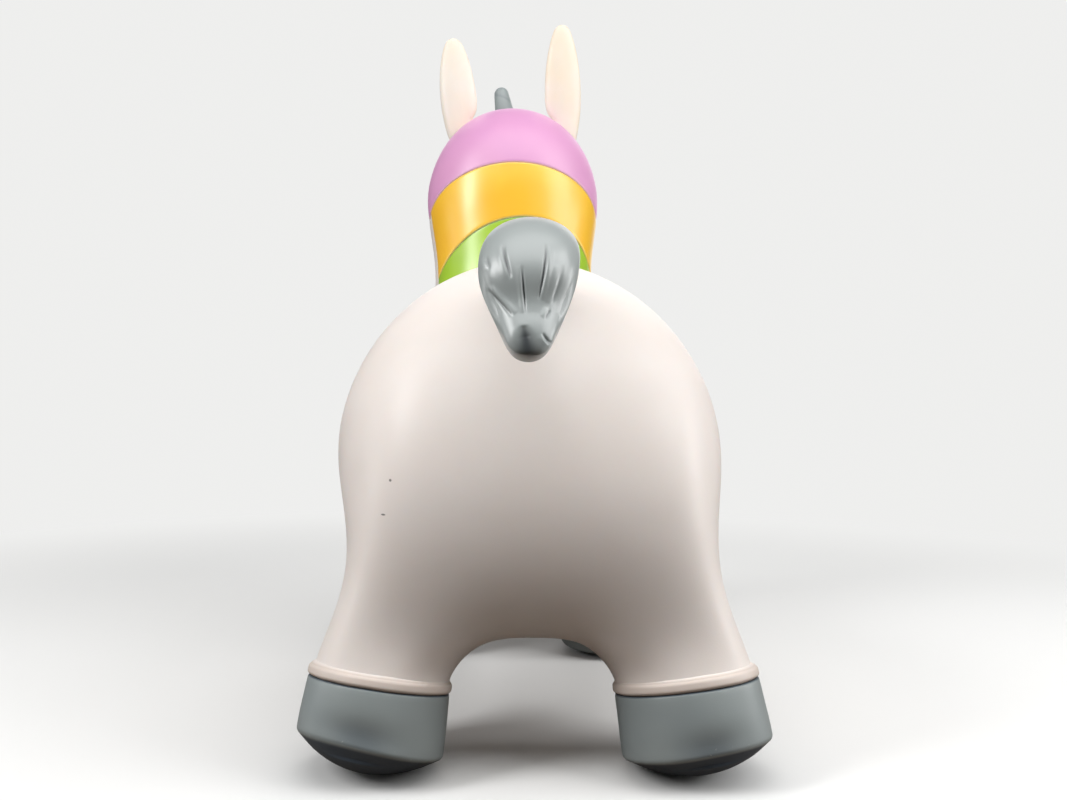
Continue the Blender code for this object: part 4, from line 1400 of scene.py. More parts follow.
@dataclass
class Mane:
    """Three bands about the nape, cut off at a slanted front.

    Attributes:
        body: The body that they lie on.
        front: A point of the pink band's front edge.
        front_lean: How far that edge leans forward.
        step: How far behind it the lower bands end.
        front_skew: How much further forward they end on the right.
        lip: The width of a band's rounded edge.
        sunk: How far its very edge lies in the skin.
        orange_lean: How far the way up from the orange band's lower edge leans forward.
        orange_skew: How much lower that edge runs on the left.
        nape_y: Where that edge crosses the nape.
        nape_rise: How high it is there, along the bands' way up.
        green_foot: Where the green band starts along that way.
        crown: Where the pink band's plane ends, above the head.
    """

    body: Body
    front: Vector = field(default_factory=lambda: Vector((0, 112 * MM, 450 * MM)))
    front_lean: float = radians(14)
    step: float = 0.5 * MM
    front_skew: float = 0.09
    lip: float = 1.6 * MM
    orange_lean: float = radians(50.8)
    orange_skew: float = 0.12
    sunk: float = 0.15 * MM
    nape_y: float = 35 * MM
    nape_rise: float = 329 * MM
    green_foot: float = 286 * MM
    crown: float = 900 * MM

    def bands(self) -> list[Band]:
        """The three bands; the edge between the lower two runs down more on the left.

        Returns:
            The bands, from the lowest.
        """
        line = self.body.band_line
        nape = Vector((0, self.nape_y, (self.nape_rise - self.nape_y * line.y) / line.z))
        up, ahead = cos(self.orange_lean), sin(self.orange_lean)
        skewed = Vector((-self.orange_skew * up, ahead, up))
        foot, border = (line * self.green_foot, line), (nape, skewed.normalized())
        head, crown = (line * self.body.head_line, line), (line * self.crown, line)
        return [
            Band("green", foot, border, 0.7 * MM, GREEN_MANE),
            Band("orange", border, head, 1.3 * MM, ORANGE_MANE),
            Band("pink", head, crown, 1.5 * MM, PINK_MANE),
        ]

    def edges(self, band: Band) -> list[tuple[Vector, Vector]]:
        """The planes that bound a band.

        Args:
            band: The band.

        Returns:
            Its lower, upper and front edge, each as a point and the way out there.
        """
        forward = Vector((0, cos(self.front_lean), -sin(self.front_lean)))
        front = (self.front, forward)
        if band.name != "pink":
            skewed = forward - Vector((self.front_skew, 0, 0))
            front = (self.front - forward * self.step, skewed.normalized())
        return [(band.low[0], -band.low[1]), band.high, front]

    def inside(self, band: Band, point: Vector) -> float:
        """How far inside a band's edges a point lies."""
        return min((place - point).dot(out) for place, out in self.edges(band))

    def build_band(self, band: Band) -> bpy.types.Object:
        """Cuts a band out of the skin and raises it, with a rounded lip all round.

        Args:
            band: The band.

        Returns:
            The piece.
        """
        bm = self.body.skin.copy()
        for place, out in self.edges(band):
            cut(bm, place, out, clear=True)
            for share in (0.15, 0.35, 0.6, 1.0, 1.8):
                cut(bm, place - out * self.lip * share, out)
        way_out = bm.verts.layers.float_vector["way_out"]
        crease = bm.verts.layers.float.new("crease")
        for vert in bm.verts:
            depth = self.inside(band, vert.co)
            share = min(max(depth / self.lip, 0), 1)
            # Along the rounded edge the band takes its painted highlight (pink, orange) or its painted shade (green).
            vert[crease] = 1 - swell(depth, 0.1 * self.lip, 0.9 * self.lip)
            rise = band.relief * (1 - (1 - share) ** 2) ** 0.5
            vert.co += vert[way_out] * (rise - self.sunk)
        bm.verts.layers.float_vector.remove(way_out)
        bmesh.ops.recalc_face_normals(bm, faces=bm.faces)
        return add_piece(bm, f"{band.name}_mane_band", band.finish)

    def build(self) -> None:
        """Makes the three bands; the two lower ones bend with the neck."""
        for band in self.bands():
            piece = self.build_band(band)
            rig.slot(piece, "mane_" + band.name)
            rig.replaces(piece, "mane_" + band.name)
            if band.name == "pink":
                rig.ride(piece, "neck_and_head")
            else:
                self.body.bend_with_neck(piece)


# Ears, horn and tail: tubes of rings


@dataclass(frozen=True)
class TubeRing:
    """One ring of a tube.

    Attributes:
        middle: Its middle.
        across: Its first half axis.
        through: Its second half axis.
    """

    middle: Vector
    across: Vector
    through: Vector


def tube(rings: Sequence[TubeRing], sides: int, level: int) -> bmesh.types.BMesh:
    """A closed smooth form through rings.

    Args:
        rings: The rings, from the root.
        sides: Points of each ring.
        level: How finely it is divided.

    Returns:
        The fine mesh.
    """
    bm = bmesh.new()
    spot = bm.verts.layers.int.new("spot")
    bmesh.ops.create_circle(bm, cap_ends=True, segments=sides, radius=1)
    for index, vert in enumerate(bm.verts):
        vert[spot] = index
    turns = [(vert.co.x, vert.co.y) for vert in bm.verts]

    def place(verts: Sequence, ring: TubeRing) -> None:
        """Moves points to where they belong.

        Args:
            verts: The ring's points.
            ring: The ring.
        """
        for vert in verts:
            x, y = turns[vert[spot]]
            vert.co = ring.middle + ring.across * x + ring.through * y

    top = bm.faces[:]
    place(bm.verts, rings[0])
    for ring in rings[1:]:
        made = bmesh.ops.extrude_face_region(bm, geom=top)["geom"]
        if ring is not rings[1]:
            bmesh.ops.delete(bm, geom=[face for face in top if face.is_valid], context="FACES")
        top = [item for item in made if isinstance(item, bmesh.types.BMFace)]
        place([item for item in made if isinstance(item, bmesh.types.BMVert)], ring)
    bmesh.ops.recalc_face_normals(bm, faces=bm.faces)
    return smoothed(bm, level)


@dataclass
class Ear:
    """One upright pointed ear with a blush hollow on its front.

    Attributes:
        skin: The moulded skin that it stands on.
        side: The animal's left or right.
        length: From the root to the tip.
        tilt: How far it leans outwards.
        spread: How far from the crown its root stands, as an angle about the head's middle.
        width: Its width, which the shares vary.
        thickness: Its size from back to front.
        back: How far behind the crown its root stands, as an angle.
        root_depth: The unit of its root's rings.
        bend: How long the bend at its root is.
        hollow_depth: How deep the hollow in its front is.
        hollow_width: Its half width, as a share of the ear's width.
        hollow_start: Where it starts, as a share of the ear's length.
        hollow_share: How long it is, as a share of the ear's length.
        root_shares: The root's rings: how far out of the skin, and their width.
        shares: The rings above: how far up, their width and their thickness.
    """

    skin: MouldedSkin
    side: Side
    length: float
    tilt: float
    spread: float
    width: float = 36 * MM
    thickness: float = 15 * MM
    back: float = radians(7)
    root_depth: float = 6 * MM
    bend: float = 22 * MM
    hollow_depth: float = 3 * MM
    hollow_width: float = 0.36
    hollow_start: float = 0.12
    hollow_share: float = 0.76
    root_shares: Sequence[Point] = ((-1.2, 0.95), (-0.2, 0.9), (0.5, 0.92))
    shares: Sequence[tuple[float, float, float]] = (
        (0.17, 1.06, 1.0),
        (0.36, 1.10, 1.0),
        (0.58, 1.01, 0.86),
        (0.80, 0.73, 0.68),
        (0.95, 0.36, 0.42),
    )

    def build(self) -> None:
        """Makes the ear and its inner blush, and lets them bend at the root."""
        side = self.side.value
        to_ear = Vector((side * sin(self.spread), -sin(self.back), cos(self.spread)))
        spot = self.skin.find(self.skin.head_middle, to_ear)
        upright = Matrix.Rotation(side * self.tilt, 3, "Y")
        through = Vector((0, self.thickness / 2, 0))
        along_skin = spot.out.cross(through).normalized() * self.width / 2
        rings = []
        for out_share, width_share in self.root_shares:
            middle = spot.point + spot.out * self.root_depth * out_share
            rings.append(TubeRing(middle, along_skin * width_share, through))
        for length_share, width_share, depth_share in self.shares:
            middle = spot.point + upright @ Vector((0, 0, self.length * length_share))
            across = upright @ Vector((-self.width / 2 * width_share, 0, 0))
            rings.append(TubeRing(middle, across, through * depth_share))
        bm = tube(rings, 8, 4)
        self.hollow(bm, spot.point, upright)
        piece = add_piece(bm, f"{self.side.word}_ear_skin", CREAM_EAR)
        piece.data.materials.append(BLUSH_EAR.material())
        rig.slot(piece, "skin_cream")
        bend_end = spot.point + spot.out * self.bend
        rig.blend(piece, "neck_and_head", f"{self.side.word}_ear", spot.point, bend_end)
        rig.replaces(piece, f"ear_{self.side.word}")

    def hollow(self, bm: bmesh.types.BMesh, root: Vector, upright: Matrix) -> None:
        """Presses a shallow leaf-shaped hollow into the front and paints its faces.

        Args:
            bm: The ear.
            root: Its root.
            upright: How it is tilted.
        """
        straight = upright.inverted()

        def depth_at(point: Vector) -> float:
            """Tells how deep in the hollow a point is.

            Args:
                point: The point.

            Returns:
                0 outside of it and 1 on its middle line.
            """
            local = straight @ (point - root)
            share = (local.z / self.length - self.hollow_start) / self.hollow_share
            leaf = max(sin(pi * min(max(share, 0), 1)), 0) ** 0.6
            half = self.width * self.hollow_width * leaf
            if half < MM or local.y < 0:
                return 0.0
            return max(1 - (local.x / half) ** 2, 0)

        for vert in bm.verts:
            vert.co.y -= self.hollow_depth * swell(depth_at(vert.co), 0, 0.8) * (vert.normal.y > 0.1)
        for face in bm.faces:
            if face.normal.y > 0.1 and depth_at(face.calc_center_median()) > 0.12:
                face.material_index = 1


@dataclass
class Horn:
    """A plain grey stub with a round tip on the forehead, leaning to the left.

    Attributes:
        skin: The moulded skin that it stands on.
        forward: How far ahead of the crown it stands, as an angle.
        radius: Its radius at the foot.
        tip_radius: Its radius at the round tip.
        length: Its length.
        lean: How far it leans forward.
        tilt: How far it leans to the left.
        turn_rise: How far up a turn of its groove reaches, as a share of its length.
        groove_depth: How deep the groove is.
    """

    skin: MouldedSkin
    forward: float = radians(43)
    radius: float = 12 * MM
    tip_radius: float = 7.5 * MM
    length: float = 57 * MM
    lean: float = radians(12)
    tilt: float = radians(9)
    turn_rise: float = 0.6
    groove_depth: float = 0.35 * MM

    def build(self) -> None:
        """Makes the horn with a soft foot and shallow spiral turns."""
        spot = self.skin.find(self.skin.head_middle, Vector((0, sin(self.forward), cos(self.forward))))
        foot = ((1.35, -9 * MM), (1.22, 1 * MM), (1.08, 5 * MM))
        profile = [(self.radius * share, height) for share, height in foot]
        straight_end = self.length - self.tip_radius
        for share in (0.2, 0.35, 0.5, 0.65, 0.8, 0.9, 1.0):
            width = self.radius + (self.tip_radius - self.radius) * share**1.3
            profile.append((width, straight_end * share))
        profile += arc((0, straight_end), self.tip_radius, radians(12), radians(90), 10)
        bm = turned(profile, 72)
        bmesh.ops.subdivide_edges(bm, edges=bm.edges, cuts=2, use_grid_fill=True, smooth=0)
        bmesh.ops.recalc_face_normals(bm, faces=bm.faces)
        face_out(bm, off_axis)
        crease = bm.verts.layers.float.new("crease")
        for vert in bm.verts:
            out = max(hypot(vert.co.x, vert.co.y), WELD)
            turn = atan2(vert.co.y, vert.co.x) + vert.co.z / (self.length * self.turn_rise) * 2 * pi
            groove = max(cos(turn) - 0.86, 0) / 0.14 * swell(vert.co.z, 4 * MM, 10 * MM)
            groove *= 1 - swell(vert.co.z, self.length * 0.8, self.length * 0.95)
            # Painted shade in the groove.
            vert[crease] = groove * 0.35
            shrink = 1 - self.groove_depth * groove / out
            vert.co.x *= shrink
            vert.co.y *= shrink
        turn = Matrix.Rotation(-self.lean, 4, "X") @ Matrix.Rotation(-self.tilt, 4, "Y")
        bmesh.ops.transform(bm, matrix=Matrix.Translation(spot.point) @ turn, verts=bm.verts)
        piece = add_piece(bm, "horn_stub", GREY_HORN)
        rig.slot(piece, "horn_grey")
        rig.ride(piece, "neck_and_head")
        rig.replaces(piece, "horn")


@dataclass(frozen=True)
class Groove:
    """A moulded parting between locks of hair.

    Attributes:
        points: Its way over the hair as seen from behind: X and Z from the tail's root.
        depth: How deep it is at its middle.
        width: How wide it is.
        lip: How far the hair swells on its right, or on its left where negative.
        end_width: How wide it is at its lower end, where it opens instead of closing.
    """

    points: Sequence[Point]
    depth: float
    width: float
    lip: float
    end_width: float


def tail_grooves() -> list[Groove]:
    """The partings of the tail's hair, as they run down the side that faces back.

    Returns:
        The partings, in no order.
    """
    rows = (
        (((-22.2, 16.0), (-21.0, 9.0), (-18.2, -2.5)), 1.6, 0.8, 0.5, 0),
        (((-12.6, 4.0), (-12.0, -9.0), (-11.2, -21.5)), 1.1, 0.65, 0.6, 0),
        (((0.6, 16.7), (0.2, 8.8), (-1.2, -2.0), (-3.0, -13.5)), 1.3, 0.8, -0.9, 0),
        (((-30.5, 9.9), (-28.6, 2.9)), 0.5, 0.9, 0.6, 0),
        (((-31.0, -8.0), (-26.0, -15.0), (-18.6, -23.4)), 0.7, 0.9, -0.9, 0),
        (((9.4, 4.4), (7.9, -6.0), (5.4, -16.3)), 0.5, 1.3, 0.6, 0),
        (((-2.4, -32.6), (0.5, -36.3), (2.8, -37.8)), 0.9, 0.7, 0.3, 0),
        (((3.6, -19.7), (0.2, -25.0)), 0.6, 0.8, 0.5, 0),
        (((-12.4, -28.5), (-11.2, -36.0), (-10.0, -46.0)), 2.4, 1.8, 0.2, 8.0),
    )
    return [
        Groove([(x * MM, z * MM) for x, z in way], *(size * MM for size in sizes))
        for way, *sizes in rows
    ]


@dataclass
class Tail:
    """An arched, drooping lock of hair with moulded partings.

    Where a field holds two numbers for a place, they are X and Z from the tail's root.

    Attributes:
        skin: The moulded skin that it is rooted in.
        back: How far behind the rump's top it is rooted, as an angle.
        width: Its width, which the shares vary.
        thickness: Its thickness.
        drop: How far its tip hangs down.
        swing: How far it hangs to the left.
        reach: How far back it arches.
        level: How finely it is divided.
        bend: Where the bend at its root starts and ends, behind it.
        waist: How deep the waist in its back is.
        waist_at: The middle of the waist.
        waist_size: The waist's half width and half height.
        flick: How far the tip curls back.
        flick_at: The height where that starts.
        flick_height: How far below it is complete.
        tip: The heights between which the tip is narrowed, downwards.
        tip_x: The line that it is narrowed to.
        tip_share: By what share.
        fuller: How much fuller the left side is.
        fuller_at: Where that begins.
        fuller_size: Over which width and height.
        shares: The rings: how far back, how far down, width, thickness, and their lean in degrees.
        grooves: The partings.
    """

    skin: MouldedSkin
    back: float = radians(19)
    width: float = 58 * MM
    thickness: float = 42 * MM
    drop: float = 52 * MM
    swing: float = 9 * MM
    reach: float = 95 * MM
    level: int = 5
    bend: tuple[float, float] = (-10 * MM, 20 * MM)
    waist: float = 4.2 * MM
    waist_at: Point = (-9 * MM, -14 * MM)
    waist_size: Point = (27 * MM, 12 * MM)
    flick: float = 7.0 * MM
    flick_at: float = -21 * MM
    flick_height: float = 24 * MM
    tip: tuple[float, float] = (30 * MM, 50 * MM)
    tip_x: float = -10 * MM
    tip_share: float = 0.04
    fuller: float = 1.6 * MM
    fuller_at: Point = (-10 * MM, -4 * MM)
    fuller_size: Point = (18 * MM, 17 * MM)
    shares: Sequence[tuple[float, float, float, float, float]] = (
        (-0.10, 0.12, 0.62, 0.72, 20),
        (0.14, -0.28, 0.74, 0.86, 42),
        (0.46, -0.47, 0.95, 1.0, 78),
        (0.76, -0.29, 1.10, 1.0, 120),
        (0.90, 0.16, 0.97, 0.86, 155),
        (0.97, 0.58, 0.61, 0.66, 168),
        (1.0, 0.92, 0.34, 0.36, 165),
    )
    grooves: Sequence[Groove] = ()

    def build(self) -> None:
        """Makes the lock, presses its partings in, and lets it bend at the root."""
        rump = Vector((0, self.skin.rump_y + self.skin.body_length / 4, self.skin.back_height / 2))
        spot = self.skin.find(rump, Vector((0, -sin(self.back), cos(self.back))))
        rings = []
        for reach, drop, wide, deep, lean in self.shares:
            left = self.swing * max(reach, 0)
            middle = spot.point - Vector((left, self.reach * reach, self.drop * drop))
            across = Vector((self.width / 2 * wide, 0, 0))
            through = Vector((0, cos(radians(lean)), sin(radians(lean)))) * self.thickness / 2 * deep
            rings.append(TubeRing(middle, across, through))
        bm = tube(rings, 8, self.level)
        self.carve(bm, spot.point)
        piece = add_piece(bm, "tail_hair", GREY_TAIL)
        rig.slot(piece, "tail_grey")
        start, end = (spot.point - Vector((0, behind, 0)) for behind in self.bend)
        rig.blend(piece, "torso", "tail_lock", start, end)
        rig.replaces(piece, "tail")

    def carve(self, bm: bmesh.types.BMesh, root: Vector) -> None:
        """Gives the hair its partings with painted shade in them, its waist and its curled tip, on the side that faces
        back.

        Args:
            bm: The hair.
            root: The tail's root.
        """
        crease = bm.verts.layers.float.new("crease")
        points = np.array([(v.co.x - root.x, v.co.z - root.z) for v in bm.verts])
        facing = np.array([v.normal.y for v in bm.verts])
        seen = np.clip((-facing - 0.1) / 0.4, 0, 1)
        off = (points - self.waist_at) / self.waist_size
        waist = self.waist * np.exp(-(off[:, 0] ** 4) - off[:, 1] ** 2)
        curl = self.flick * np.clip((self.flick_at - points[:, 1]) / self.flick_height, 0, 1) ** 1.4
        sink, shade = self.parted(points)
        moves = zip(bm.verts, points, (waist + sink) * seen, curl * seen, shade * seen)
        for vert, place, down, back, dark in moves:
            vert.co -= vert.normal * float(down)
            vert.co.y -= float(back)
            vert.co.x -= self.narrowing(float(place[0]), float(place[1]))
            vert[crease] = float(dark)

    def parted(self, points: np.ndarray) -> tuple[np.ndarray, np.ndarray]:
        """Presses the partings in.

        Args:
            points: The hair's points: X and Z from the tail's root.

        Returns:
            How deep each point sinks, and how much painted shade it takes.
        """
        sink, shade = np.zeros(len(points)), np.zeros(len(points))
        for groove in self.grooves:
            across, along = distance_to_path(points, np.array(groove.points))
            width = groove.width + max(groove.end_width - groove.width, 0) * along
            closing = np.minimum(along * 3, 1) if groove.end_width else np.sin(np.pi * along)
            taper = np.maximum(closing, 0) ** 0.6
            near = np.exp(-((across / width) ** 2)) * taper
            side = np.sign(groove.lip) * across / (width * 2.6)
            lip = np.exp(-((side - 1) ** 2) * 1.6) * taper
            sink += near * groove.depth - lip * abs(groove.lip)
            # Painted shade in the parting, darker where it is deeper.
            shade = np.maximum(shade, near * min(groove.depth / MM, 1) * 0.8)
        return sink, shade

    def narrowing(self, x: float, z: float) -> float:
        """How far a point moves to the left, to narrow the tip and to fill out the left side.

        Args:
            x: Its place to the right of the tail's root.
            z: Its height over the root.

        Returns:
            The move.
        """
        tip = (x - self.tip_x) * self.tip_share * swell(-z, *self.tip)
        share = min(max((self.fuller_at[0] - x) / self.fuller_size[0], 0), 1)
        return tip + self.fuller * share * exp(-(((z - self.fuller_at[1]) / self.fuller_size[1]) ** 2))


def distance_to_path(points: np.ndarray, path: np.ndarray) -> tuple[np.ndarray, np.ndarray]:
    """How far points lie from a path in a plane.

    Args:
        points: The points, one row each.
        path: The path's corners.

    Returns:
        The distance, negative on the path's left, and the share of the path's length there.
    """
    lengths = np.linalg.norm(np.diff(path, axis=0), axis=1)
    best = np.full(len(points), np.inf)
    signed = np.zeros(len(points))
    along = np.zeros(len(points))
    passed = 0.0
    for start, end, length in zip(path, path[1:], lengths):
        line = (end - start) / length
        to_point = points - start
        share = np.clip(to_point @ line, 0, length)
        off = to_point - share[:, None] * line
        distance = np.linalg.norm(off, axis=1)
        turn = line[0] * to_point[:, 1] - line[1] * to_point[:, 0]
        nearer = distance < best
        best = np.where(nearer, distance, best)
        signed = np.where(nearer, np.where(turn > 0, -distance, distance), signed)
        along = np.where(nearer, (passed + share) / lengths.sum(), along)
        passed += length
    return signed, along


# Face


@dataclass
class Face:
    """Plain printed eyes, nostrils and a mouth line.

    Attributes:
        skin: The moulded skin that they are printed on.
        eye_ahead: How far ahead of the head's middle the eyes lie.
        eye_rise: How far above it.
        eye_size: An eye's width and height.
        eye_relief: How far an eye is domed.
        glint_ahead: How far ahead of the eye's middle its glint lies.
        glint_rise: How far above it.
        glint_size: The glint's width and height.
        glint_relief: How far it is domed.
        nostril_size: A nostril's width and height.
        nostril_way: The way to the right one from the muzzle's middle.
        nostril_slant: How far a nostril's top leans inwards.
        mouth_width: Half the width of the mouth's line.
        mouth_span: How far the mouth reaches to each side, as an angle.
        mouth_fall: How low its middle lies.
        smile: How much higher its ends lie.
        reach: How far off the skin the prints are aimed from.
        print_relief: How proud the nostrils' and the mouth's paint stands.
    """

    skin: MouldedSkin
    eye_ahead: float = 54 * MM
    eye_rise: float = 10 * MM
    eye_size: Point = (17 * MM, 22 * MM)
    eye_relief: float = 0.7 * MM
    glint_ahead: float = 2.5 * MM
    glint_rise: float = 4.5 * MM
    glint_size: Point = (4.6 * MM, 5.6 * MM)
    glint_relief: float = 1.0 * MM
    nostril_size: Point = (6 * MM, 9 * MM)
    nostril_way: tuple[float, float, float] = (0.36, 1, 0.12)
    nostril_slant: float = 0.4
    mouth_width: float = 0.9 * MM
    mouth_span: float = radians(82)
    mouth_fall: float = -0.42
    smile: float = 0.34
    reach: float = 30 * MM
    print_relief: float = 0.35 * MM

    def disc(
        self, spot: Spot, up: Vector, size: Point, relief: float, name: str, finish: Vinyl
    ) -> bpy.types.Object:
        """A thin domed oval that lies on the skin.

        Args:
            spot: Its middle.
            up: The way that its height runs.
            size: Its width and height.
            relief: How far it is domed.
            name: The piece's name.
            finish: Its paint.

        Returns:
            The piece.
        """
        bm = turned([(step / 12, 0) for step in range(13)], 56)
        across = up.cross(spot.out).normalized()
        above = spot.out.cross(across).normalized()
        for vert in bm.verts:
            x, y = vert.co.x, vert.co.y
            share = min(hypot(x, y), 1)
            beside = across * x * size[0] / 2 + above * y * size[1] / 2
            found = self.skin.find(spot.point + spot.out * self.reach + beside, -spot.out)
            rise = relief * max(1 - share**4, 0) ** 0.5 - 0.12 * MM * (share > 0.99)
            vert.co = found.point + found.out * rise
        bm.normal_update()
        face_out(bm, lambda face: spot.out)
        piece = add_piece(bm, name, finish)
        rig.ride(piece, "neck_and_head")
        return piece

    def build(self) -> None:
        """Makes every printed mark."""
        up = Vector((0, 0.15, 1)).normalized()
        for side in Side:
            start = self.skin.head_middle + Vector((0, self.eye_ahead, self.eye_rise))
            spot = self.skin.find(start, Vector((side.value, 0, 0)))
            name = f"{side.word}_eye_print"
            eye = self.disc(spot, up, self.eye_size, self.eye_relief, name, BLACK_EYE)
            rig.slot(eye, "eye_dark")
            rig.replaces(eye, f"eye_{side.word}")
            beside = start + Vector((0, self.glint_ahead, self.glint_rise))
            glint = Spot(self.skin.find(beside, Vector((side.value, 0, 0))).point, spot.out)
            name = f"{side.word}_eye_glint"
            self.disc(glint, up, self.glint_size, self.glint_relief, name, WHITE_GLINT)
            right, ahead, above = self.nostril_way
            way = Vector((side.value * right, ahead, above)).normalized()
            nostril = self.skin.find(self.muzzle_middle, way)
            slant = Vector((side.value * -self.nostril_slant, 0, 1))
            name = f"{side.word}_nostril"
            self.disc(nostril, slant, self.nostril_size, self.print_relief, name, DARK_PINK)
        self.mouth()

    @property
    def muzzle_middle(self) -> Vector:
        """The middle of the muzzle."""
        return self.skin.neck_base + Vector((0, self.skin.nose_reach * 0.82, self.skin.head_rise * 0.74))

    def mouth(self) -> None:
        """A thin painted line round the front of the muzzle, turned up at its ends."""
        bm = bmesh.new()
        bmesh.ops.create_grid(bm, x_segments=64, y_segments=4, size=1)
        for vert in bm.verts:
            heading = vert.co.x * self.mouth_span
            fall = self.mouth_fall + self.smile * vert.co.x**2
            ends = (1 - abs(vert.co.x) ** 6) ** 0.5
            way = Vector((sin(heading), cos(heading), fall))
            spot = self.skin.find(self.muzzle_middle, way.normalized())
            across = vert.co.y * self.mouth_width * max(ends, 0.05)
            rise = self.print_relief * (1 - abs(vert.co.y) ** 3) - 0.05 * MM
            along_skin = (Vector((0, 0, 1)) - spot.out * spot.out.z).normalized()
            vert.co = spot.point + along_skin * across + spot.out * rise
        bm.normal_update()
        middle = self.muzzle_middle
        face_out(bm, lambda face: face.calc_center_median() - middle)
        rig.ride(add_piece(bm, "mouth_line", DARK_PINK), "neck_and_head")


@dataclass
class Valve:
    """The flanged air valve under the belly, with its plug pushed in.

    Attributes:
        skin: The moulded skin that it is set in.
        y: Where it stands along the belly.
        flange_radius: The flange's radius.
        flange_thickness: How far it stands under the skin.
        flange_edge: The radius of its rounded edge.
        plug_radius: The plug's radius.
        plug_edge: The radius of the plug's rounded edge.
        gap: How much wider than the plug the well is.
    """

    skin: MouldedSkin
    y: float = -58 * MM
    flange_radius: float = 14 * MM
    flange_thickness: float = 2.1 * MM
    flange_edge: float = 1 * MM
    plug_radius: float = 7 * MM
    plug_edge: float = 0.7 * MM
    gap: float = 0.4 * MM

    def build(self) -> None:
        """Makes the flange and the plug's head."""
        spot = self.skin.find(Vector((0, self.y, self.skin.back_height / 2)), Vector((0, 0, -1)))
        low = -self.flange_thickness
        edge, plug_edge = self.flange_edge, self.plug_edge
        well = self.plug_radius + self.gap
        flange = [(self.flange_radius, 3 * MM)]
        flange += arc((self.flange_radius - edge, low + edge), edge, 0, radians(-90), 6)
        flange += arc((well + 0.5 * MM, low + 0.5 * MM), 0.5 * MM, radians(-90), radians(-180), 4)
        flange += [(well, 1 * MM), (0, 1 * MM)]
        grip = low + 0.5 * MM
        plug = [(self.plug_radius, 0.8 * MM)]
        plug += arc((self.plug_radius - plug_edge, low + plug_edge), plug_edge, 0, radians(-90), 5)
        plug += [(self.plug_radius * 0.55, low), (self.plug_radius * 0.45, grip), (0, grip)]
        for profile, name, node, body in (
            (flange, "valve_flange", "valve_seat", "torso"),
            (plug, "valve_stopper", "valve_plug", "plug"),
        ):
            bm = turned(profile, 64)
            bm.normal_update()
            face_out(bm, lambda face: Vector((0, 0, -face.calc_area())))
            bmesh.ops.translate(bm, vec=spot.point, verts=bm.verts)
            piece = add_piece(bm, name, VALVE_WHITE)
            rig.slot(piece, "valve_rubber")
            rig.ride(piece, body)
            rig.replaces(piece, node)


# Studio


@dataclass(frozen=True)
class Lamp:
    """A soft rectangular lamp that points at the toy.

    Attributes:
        name: Its name.
        place: Where it hangs.
        size: Its width and height.
        power: Its power in watts.
    """

    name: str
    place: tuple[float, float, float]
    size: tuple[float, float]
    power: float

    def build(self) -> None:
        """Hangs the lamp."""
        data = bpy.data.lights.new(self.name, "AREA")
        data.shape = "RECTANGLE"
        data.size, data.size_y = self.size
        data.energy = self.power
        lamp = add_object(self.name, data)
        lamp.location = self.place
        lamp.rotation_euler = (LIT - lamp.location).to_track_quat("-Z", "Y").to_euler()


LIT = Vector((0, -0.05, 0.25))
LAMPS = (
    Lamp("overhead_softbox", (0.05, -0.55, 1.45), (1.5, 1.0), 9.5),
    Lamp("left_strip", (-1.15, -0.70, 1.10), (0.4, 0.8), 13.6),
    Lamp("right_strip", (1.20, -0.60, 1.10), (0.8, 1.1), 13.2),
    Lamp("low_left_strip", (-1.30, -0.12, 0.40), (0.3, 0.6), 2.0),
    Lamp("low_right_strip", (1.30, -0.12, 0.40), (0.3, 0.6), 4.8),
    Lamp("rear_softbox", (0.1, -1.0, 2.1), (1.8, 0.9), 4.2),
    Lamp("front_softbox", (0.25, 1.5, 1.0), (1.6, 1.2), 7.0),
)


